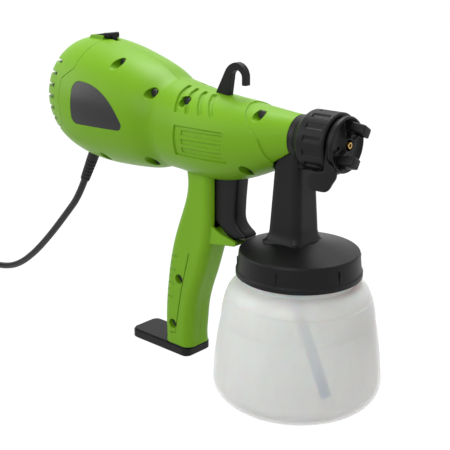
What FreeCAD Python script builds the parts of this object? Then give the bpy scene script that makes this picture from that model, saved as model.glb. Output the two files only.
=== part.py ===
# Handheld electric paint sprayer: a pistol-grip turbine gun that stands on its cup and its grip foot.
# Millimetres. +X is the spray direction and +Z is up. The origin is the centre of the cup's base.
# The two housing shells meet on the plane Y = 0, and the spray axis lies in it.
import FreeCAD, Part
import math
import os
import Sketcher
from FreeCAD import Placement, Rotation, Vector

doc = FreeCAD.newDocument("paint_sprayer")
sheet = doc.addObject("Spreadsheet::Sheet", "sizes")
given_names = []
nodes = []


class Size:
    """A length that carries its value and the sheet expression that it comes from."""

    def __init__(self, value, text):
        self.value = float(value)
        self.text = text

    def __add__(self, other):
        other = as_size(other)
        return Size(self.value + other.value, f"({self.text} + {other.text})")

    def __radd__(self, other):
        return as_size(other) + self

    def __sub__(self, other):
        other = as_size(other)
        return Size(self.value - other.value, f"({self.text} - {other.text})")

    def __rsub__(self, other):
        return as_size(other) - self

    def __mul__(self, other):
        other = as_size(other)
        return Size(self.value * other.value, f"({self.text} * {other.text})")

    def __rmul__(self, other):
        return as_size(other) * self

    def __neg__(self):
        return self * -1


def as_size(value):
    if isinstance(value, Size):
        return value
    return Size(value, f"({float(value)})")


def given(name, value):
    """Write a driving dimension to the sheet."""
    given_names.append(name)
    row = len(given_names)
    sheet.set(f"A{row}", name)
    sheet.set(f"B{row}", str(value))
    sheet.setAlias(f"B{row}", name)
    return Size(value, f"sizes.{name}")


def attach(thing, path, value):
    """Bind a property path of an object to an expression of the sheet, where it has one."""
    if "sizes." in value.text:
        thing.setExpression(path, value.text)


def bind(thing, **values):
    for name, value in values.items():
        value = as_size(value)
        setattr(thing, name, value.value)
        attach(thing, name, value)


def place(thing, x=0.0, y=0.0, z=0.0, rotation=None):
    spots = [as_size(x), as_size(y), as_size(z)]
    thing.Placement = Placement(Vector(*[spot.value for spot in spots]), rotation or Rotation())
    for axis, spot in zip("xyz", spots):
        attach(thing, f"Placement.Base.{axis}", spot)
    return thing


# Sketches and features

def new_body(label):
    body = doc.addObject("PartDesign::Body", label)
    body.Label = label
    return body


def sketch(body, role, offset=0.0):
    """An empty sketch on an origin plane of the body, moved along the plane's normal."""
    plane = next(item for item in body.Origin.OriginFeatures if item.Role == role)
    drawing = body.newObject("Sketcher::SketchObject", "outline")
    drawing.AttachmentSupport = [(plane, "")]
    drawing.MapMode = "FlatFace"
    offset = as_size(offset)
    drawing.AttachmentOffset = Placement(Vector(0, 0, offset.value), Rotation())
    attach(drawing, "AttachmentOffset.Base.z", offset)
    return drawing


def fix(drawing, kind, value, *ends):
    value = as_size(value)
    index = drawing.addConstraint(Sketcher.Constraint(kind, *ends, value.value))
    attach(drawing, f"Constraints[{index}]", value)


def draw(drawing, points):
    """A closed outline. A third number is the radius of the arc to the next point: above 0 it
    bulges to the right of the way round, below 0 to the left."""
    corners = [(as_size(point[0]), as_size(point[1])) for point in points]
    spots = [Vector(x.value, y.value, 0) for x, y in corners]
    edges = []
    for index, point in enumerate(points):
        here = spots[index]
        there = spots[(index + 1) % len(points)]
        if len(point) == 2:
            edge = drawing.addGeometry(Part.LineSegment(here, there))
            edges.append((edge, 1, 2))
            continue
        radius = as_size(point[2])
        chord = there - here
        left = Vector(-chord.y, chord.x, 0).normalize()
        side = 1 if radius.value > 0 else -1
        rise = math.sqrt(radius.value ** 2 - (chord.Length / 2) ** 2)
        centre = (here + there) * 0.5 + left * (rise * side)
        circle = Part.Circle(centre, Vector(0, 0, 1), abs(radius.value))
        first, last = (here, there) if side > 0 else (there, here)
        arc = Part.ArcOfCircle(circle, circle.parameter(first), circle.parameter(last))
        edge = drawing.addGeometry(arc)
        fix(drawing, "Radius", radius * side, edge)
        edges.append((edge, 1, 2) if side > 0 else (edge, 2, 1))
    for index, (edge, start, end) in enumerate(edges):
        following, its_start, _ = edges[(index + 1) % len(edges)]
        drawing.addConstraint(Sketcher.Constraint("Coincident", edge, end, following, its_start))
        fix(drawing, "DistanceX", corners[index][0], -1, 1, edge, start)
        fix(drawing, "DistanceY", corners[index][1], -1, 1, edge, start)


def circle(drawing, x, y, radius):
    x, y, radius = as_size(x), as_size(y), as_size(radius)
    edge = drawing.addGeometry(Part.Circle(Vector(x.value, y.value, 0), Vector(0, 0, 1), radius.value))
    fix(drawing, "DistanceX", x, -1, 1, edge, 3)
    fix(drawing, "DistanceY", y, -1, 1, edge, 3)
    fix(drawing, "Radius", radius, edge)


def rounded(drawing, x, half_length, half_width, corner, y=0.0):
    """A rectangle with round corners about (x, y)."""
    near, far = x - half_length, x + half_length
    low, high = y - half_width, y + half_width
    draw(drawing, [
        (near + corner, low), (far - corner, low, corner),
        (far, low + corner), (far, high - corner, corner),
        (far - corner, high), (near + corner, high, corner),
        (near, high - corner), (near, low + corner, corner),
    ])


def turn(body, points, about="H_Axis", cut=False):
    """Revolve an outline of the XZ plane: about H_Axis it holds (x, radius) pairs."""
    drawing = sketch(body, "XZ_Plane")
    draw(drawing, points)
    feature = body.newObject("PartDesign::Groove" if cut else "PartDesign::Revolution", "turned")
    feature.Profile = drawing
    feature.ReferenceAxis = (drawing, [about])
    feature.Angle = 360
    return feature


def prism(body, role, shape, low, high, cut=False):
    """Extrude between two distances along the plane's normal. shape draws on the sketch."""
    low, high = as_size(low), as_size(high)
    drawing = sketch(body, role, high if cut else low)
    shape(drawing)
    feature = body.newObject("PartDesign::Pocket" if cut else "PartDesign::Pad", "prism")
    feature.Profile = drawing
    bind(feature, Length=high - low)
    return feature


def slab(body, points, half_width, cut=False):
    """Extrude an XZ outline to both sides of the plane Y = 0."""
    return prism(body, "XZ_Plane", lambda drawing: draw(drawing, points), -half_width, half_width, cut)


def loft(body, drawings, straight=False):
    feature = body.newObject("PartDesign::AdditiveLoft", "loft")
    feature.Profile = drawings[0]
    feature.Sections = drawings[1:]
    feature.Ruled = straight
    return feature


def around(body, feature, count, role="X_Axis"):
    """Repeat a feature about an axis of the body."""
    axis = next(item for item in body.Origin.OriginFeatures if item.Role == role)
    pattern = body.newObject("PartDesign::PolarPattern", "pattern")
    pattern.Originals = [feature]
    pattern.Axis = (axis, [""])
    pattern.Angle = 360
    pattern.Occurrences = count
    body.Tip = pattern
    return pattern


def turned_part(label, points, about="H_Axis", x=0.0, z=0.0):
    body = new_body(label)
    turn(body, points, about)
    place(body, x, 0.0, z)
    return body


def rod(label, radius, start, length, direction):
    """A cylinder from a point along a direction."""
    cylinder = doc.addObject("Part::Cylinder", label)
    bind(cylinder, Radius=radius, Height=length)
    place(cylinder, *start, Rotation(Vector(0, 0, 1), Vector(*direction)))
    return cylinder


def block(label, low, high):
    """A box between two corners."""
    box = doc.addObject("Part::Box", label)
    spans = [as_size(far) - as_size(near) for near, far in zip(low, high)]
    bind(box, Length=spans[0], Width=spans[1], Height=spans[2])
    place(box, *low)
    return box


def fuse(label, things):
    joined = doc.addObject("Part::MultiFuse", label)
    joined.Shapes = things
    joined.Label = label
    return joined


def common(label, things):
    shared = doc.addObject("Part::MultiCommon", label)
    shared.Shapes = things
    shared.Label = label
    return shared


def cut(label, base, tool):
    rest = doc.addObject("Part::Cut", label)
    rest.Base = base
    rest.Tool = tool
    rest.Label = label
    return rest


def node(thing):
    """Mark an object as a sub-part that is written out under its label."""
    nodes.append(thing)
    return thing


# Paths of tangent arcs, for cords, tubes and springs

def bend(start, corner, end):
    """The arc from start to end whose end tangents meet at corner."""
    chord = (end - start).Length / 2
    middle = (start + end) * 0.5
    reach = (corner - middle).Length
    if reach < 1e-6:
        return Part.LineSegment(start, end).toShape()
    sagitta = chord * math.tan(math.atan(reach / chord) / 2)
    return Part.Arc(start, middle + (corner - middle) * (sagitta / reach), end).toShape()


def routed(points, share=0.45):
    """Straight runs joined by arcs as large as the runs allow. Returns edges and the radii."""
    edges = []
    radii = []
    here = points[0]
    for before, corner, after in zip(points, points[1:], points[2:]):
        into = (corner - before).normalize()
        out = (after - corner).normalize()
        half_turn = into.getAngle(out) / 2
        back = share * min((corner - before).Length, (after - corner).Length)
        radii.append(back / math.tan(half_turn))
        start = corner - into * back
        end = corner + out * back
        edges.append(Part.LineSegment(here, start).toShape())
        edges.append(bend(start, corner, end))
        here = end
    edges.append(Part.LineSegment(here, points[-1]).toShape())
    return edges, radii


def biarc(start, leaving, end, arriving):
    """Two arcs from start to end with the given unit tangents."""
    gap = end - start
    both = leaving + arriving
    square = 2 * (leaving.dot(arriving) - 1)
    linear = -2 * gap.dot(both)
    if abs(square) < 1e-9:
        reach = gap.dot(gap) / -linear
    else:
        root = math.sqrt(linear ** 2 - 4 * square * gap.dot(gap))
        reach = (-linear - root) / (2 * square)
    first = start + leaving * reach
    second = end - arriving * reach
    joint = (first + second) * 0.5
    return [bend(start, first, joint), bend(joint, second, end)]


def tube(edges, radius):
    """A round solid along a path of tangent edges."""
    path = Part.Wire(edges)
    first = path.Edges[0]
    start = first.valueAt(first.FirstParameter)
    heading = first.tangentAt(first.FirstParameter)
    ring = Part.Wire([Part.Circle(start, heading, radius).toShape()])
    return path.makePipeShell([ring], True, False)


def shaped(label, shape):
    """A sub-part whose form is worked out here from the sheet's sizes."""
    thing = doc.addObject("Part::Feature", label)
    thing.Label = label
    thing.Shape = shape
    return thing


# Driving dimensions

spray_height = given("spray_height", 189.0)
running_gap = given("running_gap", 0.4)
press_gap = given("press_gap", 0.15)

cup_radius = given("cup_radius", 60.5)
cup_wall = given("cup_wall", 1.8)
cup_corner = given("cup_corner", 15.0)
cup_shoulder_radius = given("cup_shoulder_radius", 54.8)
cup_shoulder_height = given("cup_shoulder_height", 60.0)
cup_crease_radius = given("cup_crease_radius", 51.0)
cup_crease_height = given("cup_crease_height", 78.5)
cup_neck_radius = given("cup_neck_radius", 40.6)
cup_neck_height = given("cup_neck_height", 88.5)
cup_rim_height = given("cup_rim_height", 105.6)

gasket_thickness = given("gasket_thickness", 2.0)
gasket_width = given("gasket_width", 3.4)

lid_skirt_wall = given("lid_skirt_wall", 2.6)
lid_lip = given("lid_lip", 0.9)
lid_skirt_drop = given("lid_skirt_drop", 15.0)
lid_rim_rise = given("lid_rim_rise", 2.6)
lid_cone_rise = given("lid_cone_rise", 6.6)
neck_back = given("neck_back", 5.6)
neck_foot_half = given("neck_foot_half", 13.6)
neck_top_half = given("neck_top_half", 11.4)
neck_corner = given("neck_corner", 5.5)

barrel_rear = given("barrel_rear", 40.0)
barrel_stem_radius = given("barrel_stem_radius", 8.5)
barrel_shoulder = given("barrel_shoulder", 14.0)
barrel_socket_radius = given("barrel_socket_radius", 13.4)
collar_start = given("collar_start", 1.5)
collar_rear_radius = given("collar_rear_radius", 15.2)
collar_front_radius = given("collar_front_radius", 16.0)
thread_start = given("thread_start", 4.0)
thread_end = given("thread_end", 22.0)
thread_radius = given("thread_radius", 14.0)
paint_bore = given("paint_bore", 3.5)

nut_radius = given("nut_radius", 20.5)
nut_front = given("nut_front", 31.2)
nut_lip = given("nut_lip", 2.0)
nut_chamfer = given("nut_chamfer", 6.2)
nut_grooves = 14

cap_hub_radius = given("cap_hub_radius", 16.2)
cap_flange = given("cap_flange", 1.3)
cap_radius = given("cap_radius", 19.4)
cap_rear = given("cap_rear", 24.0)
cap_disc_rear = given("cap_disc_rear", 33.2)
cap_front = given("cap_front", 37.0)
cap_bore = given("cap_bore", 3.1)
horn_tip = given("horn_tip", 47.5)
horn_angle = 34.0
lever_thickness = given("lever_thickness", 1.7)

needle_radius = given("needle_radius", 1.2)
needle_tip = given("needle_tip", 37.5)
nozzle_tip = given("nozzle_tip", 38.6)
collar_radius = given("collar_radius", 6.8)
collar_width = given("collar_width", 3.0)

dip_radius = given("dip_radius", 4.0)
dip_wall = given("dip_wall", 1.3)
dip_end_forward = given("dip_end_forward", 27.0)
dip_bend_height = given("dip_bend_height", 76.0)

shell_wall = given("shell_wall", 2.5)
seam_gap = given("seam_gap", 0.1)
bulb_radius = given("bulb_radius", 47.6)
bulb_rear = given("bulb_rear", 231.0)
front_radius = given("front_radius", 33.2)
waist = given("waist", 112.0)

grip_half_width = given("grip_half_width", 13.6)
grip_corner = given("grip_corner", 7.5)
foot_thickness = given("foot_thickness", 7.7)
foot_front = given("foot_front", 97.4)
foot_rear = given("foot_rear", 161.8)
foot_half_width = given("foot_half_width", 14.6)

pivot_back = given("pivot_back", 55.0)
pivot_above = given("pivot_above", 12.5)
pin_radius = given("pin_radius", 2.0)
trigger_half_width = given("trigger_half_width", 7.2)
trigger_side_gap = given("trigger_side_gap", 0.6)
plunger_height = given("plunger_height", 136.0)
plunger_radius = given("plunger_radius", 3.0)

motor_radius = given("motor_radius", 27.0)
frame_wall = given("frame_wall", 2.5)
frame_rear = given("frame_rear", 206.0)
frame_front = given("frame_front", 166.0)
stator_rear = given("stator_rear", 187.0)
stator_front = given("stator_front", 172.0)
armature_radius = given("armature_radius", 15.2)
commutator_radius = given("commutator_radius", 9.0)
mount_thickness = given("mount_thickness", 1.7)
shaft_radius = given("shaft_radius", 4.0)
bearing_radius = given("bearing_radius", 11.0)
bearing_width = given("bearing_width", 7.0)
impeller_radius = given("impeller_radius", 28.5)
impeller_width = given("impeller_width", 14.0)
turbine_radius = given("turbine_radius", 32.5)
turbine_wall = given("turbine_wall", 2.0)
turbine_rear = given("turbine_rear", 160.0)
turbine_front = given("turbine_front", 141.0)
outlet_radius = given("outlet_radius", 10.4)
outlet_end = given("outlet_end", 97.0)

screw_radius = given("screw_radius", 1.5)
screw_head_radius = given("screw_head_radius", 2.9)
boss_radius = given("boss_radius", 4.4)
recess_radius = given("recess_radius", 3.9)

hook_half_width = given("hook_half_width", 2.5)
label_depth = given("label_depth", 0.8)
skin_rise = given("skin_rise", 1.0)
louvre_gap = given("louvre_gap", 3.0)
louvre_pitch = given("louvre_pitch", 8.67)
louvre_front = given("louvre_front", 208.0)
cover_gap = given("cover_gap", 0.3)

cord_radius = given("cord_radius", 3.0)
relief_radius = given("relief_radius", 4.8)
relief_length = given("relief_length", 35.0)
relief_back = given("relief_back", 214.0)
relief_height = given("relief_height", 150.5)
coil_pitch = given("coil_pitch", 6.7)
coil_inner_radius = given("coil_inner_radius", 26.9)
tie_thickness = given("tie_thickness", 0.8)
plug_half_width = given("plug_half_width", 17.5)
plug_half_height = given("plug_half_height", 7.0)
plug_length = given("plug_length", 36.0)
plug_pin_radius = given("plug_pin_radius", 2.0)
plug_pin_spacing = given("plug_pin_spacing", 18.6)


# Paint cup

def make_cup():
    base_radius = cup_radius - cup_corner
    bow = 300.0
    crown = 60.0
    dome = 16.0
    inner_neck = cup_neck_radius - cup_wall
    return turned_part("paint_cup", [
        (0, 0), (base_radius, 0, cup_corner), (cup_radius, cup_corner, bow),
        (cup_shoulder_radius, cup_shoulder_height, crown), (cup_crease_radius, cup_crease_height, dome),
        (cup_neck_radius, cup_neck_height), (cup_neck_radius, cup_rim_height),
        (inner_neck, cup_rim_height), (inner_neck, cup_neck_height - 1, cup_wall - dome),
        (cup_crease_radius - cup_wall, cup_crease_height - 1, cup_wall - crown),
        (cup_shoulder_radius - cup_wall, cup_shoulder_height, cup_wall - bow),
        (cup_radius - cup_wall, cup_corner, cup_wall - cup_corner),
        (base_radius, cup_wall), (0, cup_wall),
    ], "V_Axis")


# Spray head: cup lid, neck and barrel in one moulding

gasket_top = cup_rim_height + running_gap + gasket_thickness
lid_bore = cup_neck_radius + running_gap
lid_bottom = gasket_top - lid_skirt_drop
lid_rim = gasket_top + lid_rim_rise
lid_top = lid_rim + lid_cone_rise
lid_radius = lid_bore + lid_skirt_wall
vault_height = lid_rim + 2
neck_x = -neck_back


def make_spray_head():
    rim_radius = lid_radius - 1.2
    rim_round = 2.0
    lid = turned_part("head_lid", [
        (lid_bore, lid_bottom), (lid_radius + lid_lip, lid_bottom), (lid_radius + lid_lip, lid_bottom + 3),
        (lid_radius, lid_bottom + 4), (rim_radius, lid_rim - rim_round, rim_round),
        (rim_radius - rim_round, lid_rim), (neck_foot_half, lid_top), (0, lid_top), (0, vault_height),
        (11, vault_height), (lid_bore - gasket_width - 1, gasket_top), (lid_bore, gasket_top),
    ], "V_Axis")
    neck = new_body("head_neck")
    stations = [
        (lid_top - 1.6, neck_foot_half + 3.4), (lid_top + 0.4, neck_foot_half + 1.5),
        (lid_top + 3.4, neck_foot_half + 0.3), (lid_top + 6, neck_foot_half - 0.1),
        (spray_height - 24, neck_top_half), (spray_height - 4, neck_top_half - 0.3),
    ]
    drawings = []
    for height, half in stations:
        drawing = sketch(neck, "XY_Plane", height)
        rounded(drawing, neck_x, half, half, neck_corner)
        drawings.append(drawing)
    loft(neck, drawings, straight=True)
    barrel = turned_part("head_barrel", [
        (-barrel_rear, 0), (thread_end, 0), (thread_end, thread_radius), (thread_start, thread_radius),
        (thread_start, collar_front_radius), (thread_start - 1.5, collar_front_radius),
        (-collar_start, collar_rear_radius), (-collar_start, barrel_socket_radius),
        (-barrel_shoulder, barrel_socket_radius), (-barrel_shoulder, barrel_stem_radius),
        (-barrel_rear, barrel_stem_radius),
    ], z=spray_height)
    nut_scoop = rod("nut_scoop", nut_radius + running_gap, (thread_start, 0, spray_height), nut_front, (1, 0, 0))
    solid = fuse("head_solid", [lid, cut("neck_behind_nut", neck, nut_scoop), barrel])
    # Needle way: gland socket, needle bore, paint chamber and nozzle socket on the spray axis.
    needle_way = turned_part("head_needle_way", [
        (-barrel_rear - 1, 0), (thread_end + 1, 0), (thread_end + 1, nozzle_shank + running_gap),
        (nozzle_shoulder, nozzle_shank + running_gap), (nozzle_shoulder, paint_bore), (-16, paint_bore),
        (-16, needle_radius + running_gap), (gland_front, needle_radius + running_gap),
        (gland_front, gland_radius + press_gap), (-barrel_rear - 1, gland_radius + press_gap),
    ], z=spray_height)
    paint_way = rod("head_paint_way", paint_bore, (neck_x, 0, vault_height - 1),
                    spray_height - vault_height + 1, (0, 0, 1))
    tube_socket = rod("head_tube_socket", dip_radius + press_gap, (neck_x, 0, vault_height - 1),
                      tube_seat - vault_height + 1, (0, 0, 1))
    air = new_body("head_air_ways")
    hole = prism(air, "YZ_Plane", lambda drawing: circle(drawing, air_way_radius, 0, 1.7),
                 -barrel_shoulder - 1, thread_end + 1)
    around(air, hole, 6)
    place(air, 0, 0, spray_height)
    ways = fuse("head_ways", [needle_way, paint_way, tube_socket, air])
    return cut("spray_head", solid, ways)


nozzle_shank = given("nozzle_shank", 4.5)
nozzle_shoulder = given("nozzle_shoulder", 13.0)
gland_radius = given("gland_radius", 5.0)
gland_length = given("gland_length", 9.0)
gland_front = gland_length - barrel_rear
tube_seat = lid_top + 12
air_way_radius = (barrel_stem_radius + barrel_socket_radius) * 0.5


def make_head_fittings():
    outer = lid_bore - press_gap
    node(turned_part("cup_gasket", [
        (outer - gasket_width, gasket_top - gasket_thickness), (outer, gasket_top - gasket_thickness),
        (outer, gasket_top), (outer - gasket_width, gasket_top),
    ], "V_Axis"))
    # Brass nozzle: shank in the head, hexagon-sized flange, cone to the tip.
    flange_radius = 7.0
    bore = needle_radius + 0.5
    tip_radius = 2.1
    tip_bore = needle_radius + 0.1
    node(turned_part("fluid_nozzle", [
        (nozzle_shoulder + 1, bore), (needle_tip - 4, bore), (nozzle_tip, tip_bore),
        (nozzle_tip, tip_radius), (nozzle_tip - 4, tip_radius), (thread_end + 3, 5),
        (thread_end + 3, flange_radius),
        (thread_end, flange_radius), (thread_end, nozzle_shank), (nozzle_shoulder + 1, nozzle_shank),
    ], z=spray_height))
    node(turned_part("needle_gland", [
        (gland_front, needle_radius + press_gap), (gland_front, gland_radius), (-barrel_rear, gland_radius),
        (-barrel_rear, gland_radius + 2), (-barrel_rear - 3, gland_radius + 2),
        (-barrel_rear - 3, needle_radius + press_gap),
    ], z=spray_height))


def make_needle():
    tail = needle_collar_front + collar_width + 16
    point = 0.4
    node(turned_part("needle", [
        (-tail, 0), (needle_tip, 0), (needle_tip, point), (needle_tip - 3, needle_radius),
        (-tail, needle_radius),
    ], z=spray_height))
    node(turned_part("needle_collar", [
        (-needle_collar_front - collar_width, needle_radius), (-needle_collar_front, needle_radius),
        (-needle_collar_front, collar_radius), (-needle_collar_front - collar_width, collar_radius),
    ], z=spray_height))


# Distances behind the origin of the trigger's arm and of what it pulls.
arm_half = given("arm_half", 4.6)
needle_collar_front = pivot_back + arm_half + 0.5
needle_travel_room = 1.4


def make_needle_spring():
    """A compression spring between the needle collar and a rib of the housing."""
    wire = 0.5
    coil_radius = 4.2
    turns = 5
    start = -(needle_collar_front + collar_width + needle_travel_room).value - wire
    pitch = 2.2
    edges = []
    quarters = turns * 4
    spots = []
    for step in range(quarters + 1):
        angle = step * math.pi / 2
        spot = Vector(start - pitch * step / 4, coil_radius * math.cos(angle),
                      spray_height.value + coil_radius * math.sin(angle))
        heading = Vector(-pitch / (2 * math.pi), -coil_radius * math.sin(angle), coil_radius * math.cos(angle))
        spots.append((spot, heading.normalize()))
    for (spot, heading), (following, its_heading) in zip(spots, spots[1:]):
        edges += biarc(spot, heading, following, its_heading)
    node(shaped("needle_spring", tube(edges, wire)))
    return start - pitch * turns - wire


def make_union_nut():
    bore = thread_radius + running_gap
    hollow = cap_hub_radius + cap_flange + running_gap
    rear = thread_start + 0.3
    body = turned_part("union_nut", [
        (rear, bore), (thread_end, bore), (thread_end, hollow), (nut_front - nut_lip, hollow),
        (nut_front - nut_lip, cap_hub_radius + running_gap), (nut_front, cap_hub_radius + running_gap),
        (nut_front, nut_radius - 1), (nut_front - 1, nut_radius), (rear + nut_chamfer, nut_radius),
        (rear + nut_chamfer - 1, nut_radius - 0.4), (rear, collar_front_radius + 0.2),
    ], z=spray_height)
    groove = prism(body, "YZ_Plane", lambda drawing: circle(drawing, 0, nut_radius + 3.6, 4.4),
                   rear + nut_chamfer + 4, nut_front - 3, cut=True)
    around(body, groove, nut_grooves)
    return body


def make_air_cap():
    web = 2.8
    flange = cap_hub_radius + cap_flange
    body = turned_part("air_cap", [
        (cap_rear, flange - 3), (cap_rear, flange), (nut_front - nut_lip - running_gap, flange),
        (nut_front - nut_lip - running_gap, cap_hub_radius), (cap_disc_rear, cap_hub_radius),
        (cap_disc_rear, cap_radius - 0.8), (cap_disc_rear + 0.9, cap_radius), (cap_front - 1.3, cap_radius),
        (cap_front, cap_radius - 1.4), (cap_front, cap_radius - 3), (cap_front - 1.6, cap_radius - 4.6),
        (cap_front - 1.6, cap_bore), (cap_front - 1.6 - web, cap_bore), (cap_front - 1.6 - web, cap_hub_radius - 3),
        (cap_rear + 4, flange - 3),
    ])
    horn_in, horn_out, horn_half = 10.6, 16.4, 3.9
    horn = prism(body, "YZ_Plane", lambda drawing: draw(drawing, [
        (-horn_half, horn_in), (horn_half, horn_in), (horn_half, horn_out - 2, 7.0), (0, horn_out, 7.0),
        (-horn_half, horn_out - 2),
    ]), cap_front - 2, horn_tip)
    around(body, horn, 2)
    jet = prism(body, "YZ_Plane", lambda drawing: circle(drawing, 7.6, 0, 0.75),
                cap_front - 2 - web, cap_front, cut=True)
    around(body, jet, 4)
    place(body, 0, 0, spray_height, Rotation(Vector(1, 0, 0), -horn_angle))
    return body


def make_pattern_lever():
    """The ring behind the air cap's disc, with the arm and the paddle that turn the cap."""
    body = new_body("pattern_lever")
    front = cap_disc_rear - 0.05
    rear = front - lever_thickness
    plate_inner = 15.2

    def ring(drawing):
        circle(drawing, 0, 0, cap_radius - 1.2)
        circle(drawing, 0, 0, cap_hub_radius + press_gap)

    def arm_and_paddle(drawing):
        draw(drawing, [
            (rear, -2), (rear, -15.6, -2.6), (rear - 2.4, -18.2), (rear - 9, -18.4, 5.6),
            (rear - 9, -29.4), (rear + 1, -29.8, 6.0), (front + 3.4, -23), (front + 3.4, -10), (front, -8.5),
            (front, -2),
        ])

    prism(body, "YZ_Plane", ring, rear, front)
    prism(body, "XZ_Plane", arm_and_paddle, plate_inner, plate_inner + 2.8)
    prism(body, "YZ_Plane", lambda drawing: circle(drawing, 0, 0, cap_hub_radius + press_gap), rear - 1, front,
          cut=True)
    turn(body, [
        (front, 0), (cap_front + 2, 0), (cap_front + 2, cap_radius + 0.1), (front, cap_radius + 0.1),
    ], cut=True)
    place(body, 0, 0, spray_height)
    return body


def make_dip_tube():
    """A bent suction tube: straight in the neck, then leaning forward to the cup's bottom corner."""
    top = Vector(neck_x.value, 0, tube_seat.value - 0.3)
    corner = Vector(neck_x.value, 0, dip_bend_height.value)
    end = Vector(dip_end_forward.value, 0, cup_wall.value + 3.2)
    edges, _ = routed([top, corner, end])
    outer = tube(edges, dip_radius.value)
    inner = tube(edges, dip_radius.value - dip_wall.value)
    return shaped("dip_tube", outer.cut(inner))


# Housing: outer form, hollow form, ribs, bosses and the tools that cut the openings

def half_disc(drawing, height, radius, side, gap):
    """Half of a circle in the YZ plane, on the side of the parting plane given as 1 or -1, or all
    of it for 0."""
    bottom = (gap * side, height - radius, radius)
    top = (gap * side, height + radius, radius)
    right = (gap + radius, height, radius)
    left = (-gap - radius, height, radius)
    if side > 0:
        draw(drawing, [bottom, right, top[:2]])
    elif side < 0:
        draw(drawing, [top, left, bottom[:2]])
    else:
        draw(drawing, [bottom, right, top, left])


def round_stations(body, stations, inset, side, gap):
    drawings = []
    for x, radius, height in stations:
        drawing = sketch(body, "YZ_Plane", x)
        half_disc(drawing, height, radius - inset, side, gap)
        drawings.append(drawing)
    loft(body, drawings)


def bulb_form(label, inset, side, gap):
    """The motor bulb: round stations along the spray axis that rise towards the rear."""
    body = new_body(label)
    stations = [
        (inset - bulb_rear, bulb_radius - 23.6, spray_height + 10.2),
        (inset - (bulb_rear - 2.5), bulb_radius - 16.4, spray_height + 9.9),
        (inset * 0.8 - (bulb_rear - 8), bulb_radius - 9, spray_height + 9.2),
        (inset * 0.4 - (bulb_rear - 16), bulb_radius - 3.9, spray_height + 8.2),
        (-(bulb_rear - 27), bulb_radius - 1.0, spray_height + 6.8),
        (-(bulb_rear - 48), bulb_radius, spray_height + 4.1),
        (-(bulb_rear - 71), bulb_radius - 2.4, spray_height + 1.3),
        (-(waist + 28), bulb_radius - 6, spray_height - 1.2),
        (-(waist + 12), front_radius + 3.4, spray_height - 3.4),
        (-(waist - 2), front_radius - 0.8, spray_height - 4.9),
    ]
    round_stations(body, stations, inset, side, gap)
    return body


def front_form(label, inset, side, gap):
    """The nose of the housing, from the waist to the spray head's collar."""
    body = new_body(label)
    stations = [
        (-waist, front_radius - 0.5, spray_height - 4.7),
        (-(waist - 22), front_radius - 1.8, spray_height - 7.7),
        (-(waist - 47), front_radius - 3.3, spray_height - 9.4),
        (-45, front_radius - 6.3, spray_height - 8),
        (-20, front_radius - 12.6, spray_height - 3.8),
        (-collar_start, collar_rear_radius + 0.2, spray_height),
    ]
    round_stations(body, stations, inset, side, gap)
    return body


def grip_form(label, inset, base, side, gap):
    """The grip: rounded rectangles that lean back and swell to the trigger."""
    body = new_body(label)
    stations = [
        (base, 110.3, 14.1), (as_size(24), 110.2, 14.2), (as_size(40), 109.0, 14.8), (as_size(56), 106.0, 16.0),
        (as_size(72), 101.8, 17.7), (spray_height - 101, 97.4, 18.5), (spray_height - 85, 92.6, 18.1),
        (spray_height - 69, 88.6, 15.8), (spray_height - 53, 86.0, 13.3), (spray_height - 37, 86.0, 13.5),
        (spray_height - 21, 86.0, 13.8),
    ]
    drawings = []
    for height, back, half_length in stations:
        drawing = sketch(body, "XY_Plane", height)
        rear, front = inset - back - half_length, half_length - back - inset
        width, corner = grip_half_width - inset, grip_corner - inset
        outline = [
            (rear, gap), (front, gap), (front, width - corner, corner), (front - corner, width),
            (rear + corner, width, corner), (rear, width - corner),
        ]
        if side < 0:
            outline = [
                (front, -gap), (rear, -gap), (rear, corner - width, corner), (rear + corner, -width),
                (front - corner, -width, corner), (front, corner - width),
            ]
        draw(drawing, outline)
        drawings.append(drawing)
    loft(body, drawings)
    return body


neck_lean = 0.9
neck_way_half = neck_top_half + neck_lean + press_gap
trigger_room = trigger_half_width + trigger_side_gap
shelf_half_width = trigger_room + 2.3


def make_trigger():
    pivot = spray_height + pivot_above
    body = new_body("trigger")
    slab(body, [
        (-75.0, 118.0), (-58.5, 106.6), (-53.5, 105.8, 5.0), (-44.8, 109.6), (-47.6, 112.4, -9.0),
        (-53.8, 119.0, -70.0), (-52.6, spray_height - 39), (-50.4, spray_height - 33),
        (-72, spray_height - 33), (-75.0, spray_height - 39),
    ], trigger_half_width)
    slab(body, [(-80, 128), (-72.65, 128), (-72.65, 144), (-80, 144)], plunger_radius + 0.8, cut=True)
    arm_outer = 7.0
    arm_inner = 4.0
    eye = 3.4
    slab(body, [
        (-pivot_back - arm_half, spray_height - 35), (-pivot_back + arm_half, spray_height - 35),
        (-pivot_back + eye, pivot, eye), (-pivot_back - eye, pivot),
    ], arm_outer)
    slab(body, [
        (-pivot_back - arm_half - 1, spray_height - 12), (-pivot_back + arm_half + 1, spray_height - 12),
        (-pivot_back + arm_half + 1, pivot + 5), (-pivot_back - arm_half - 1, pivot + 5),
    ], arm_inner, cut=True)
    prism(body, "XZ_Plane", lambda drawing: circle(drawing, -pivot_back, pivot, pin_radius + 0.06),
          -20, 20, cut=True)
    return body


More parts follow.
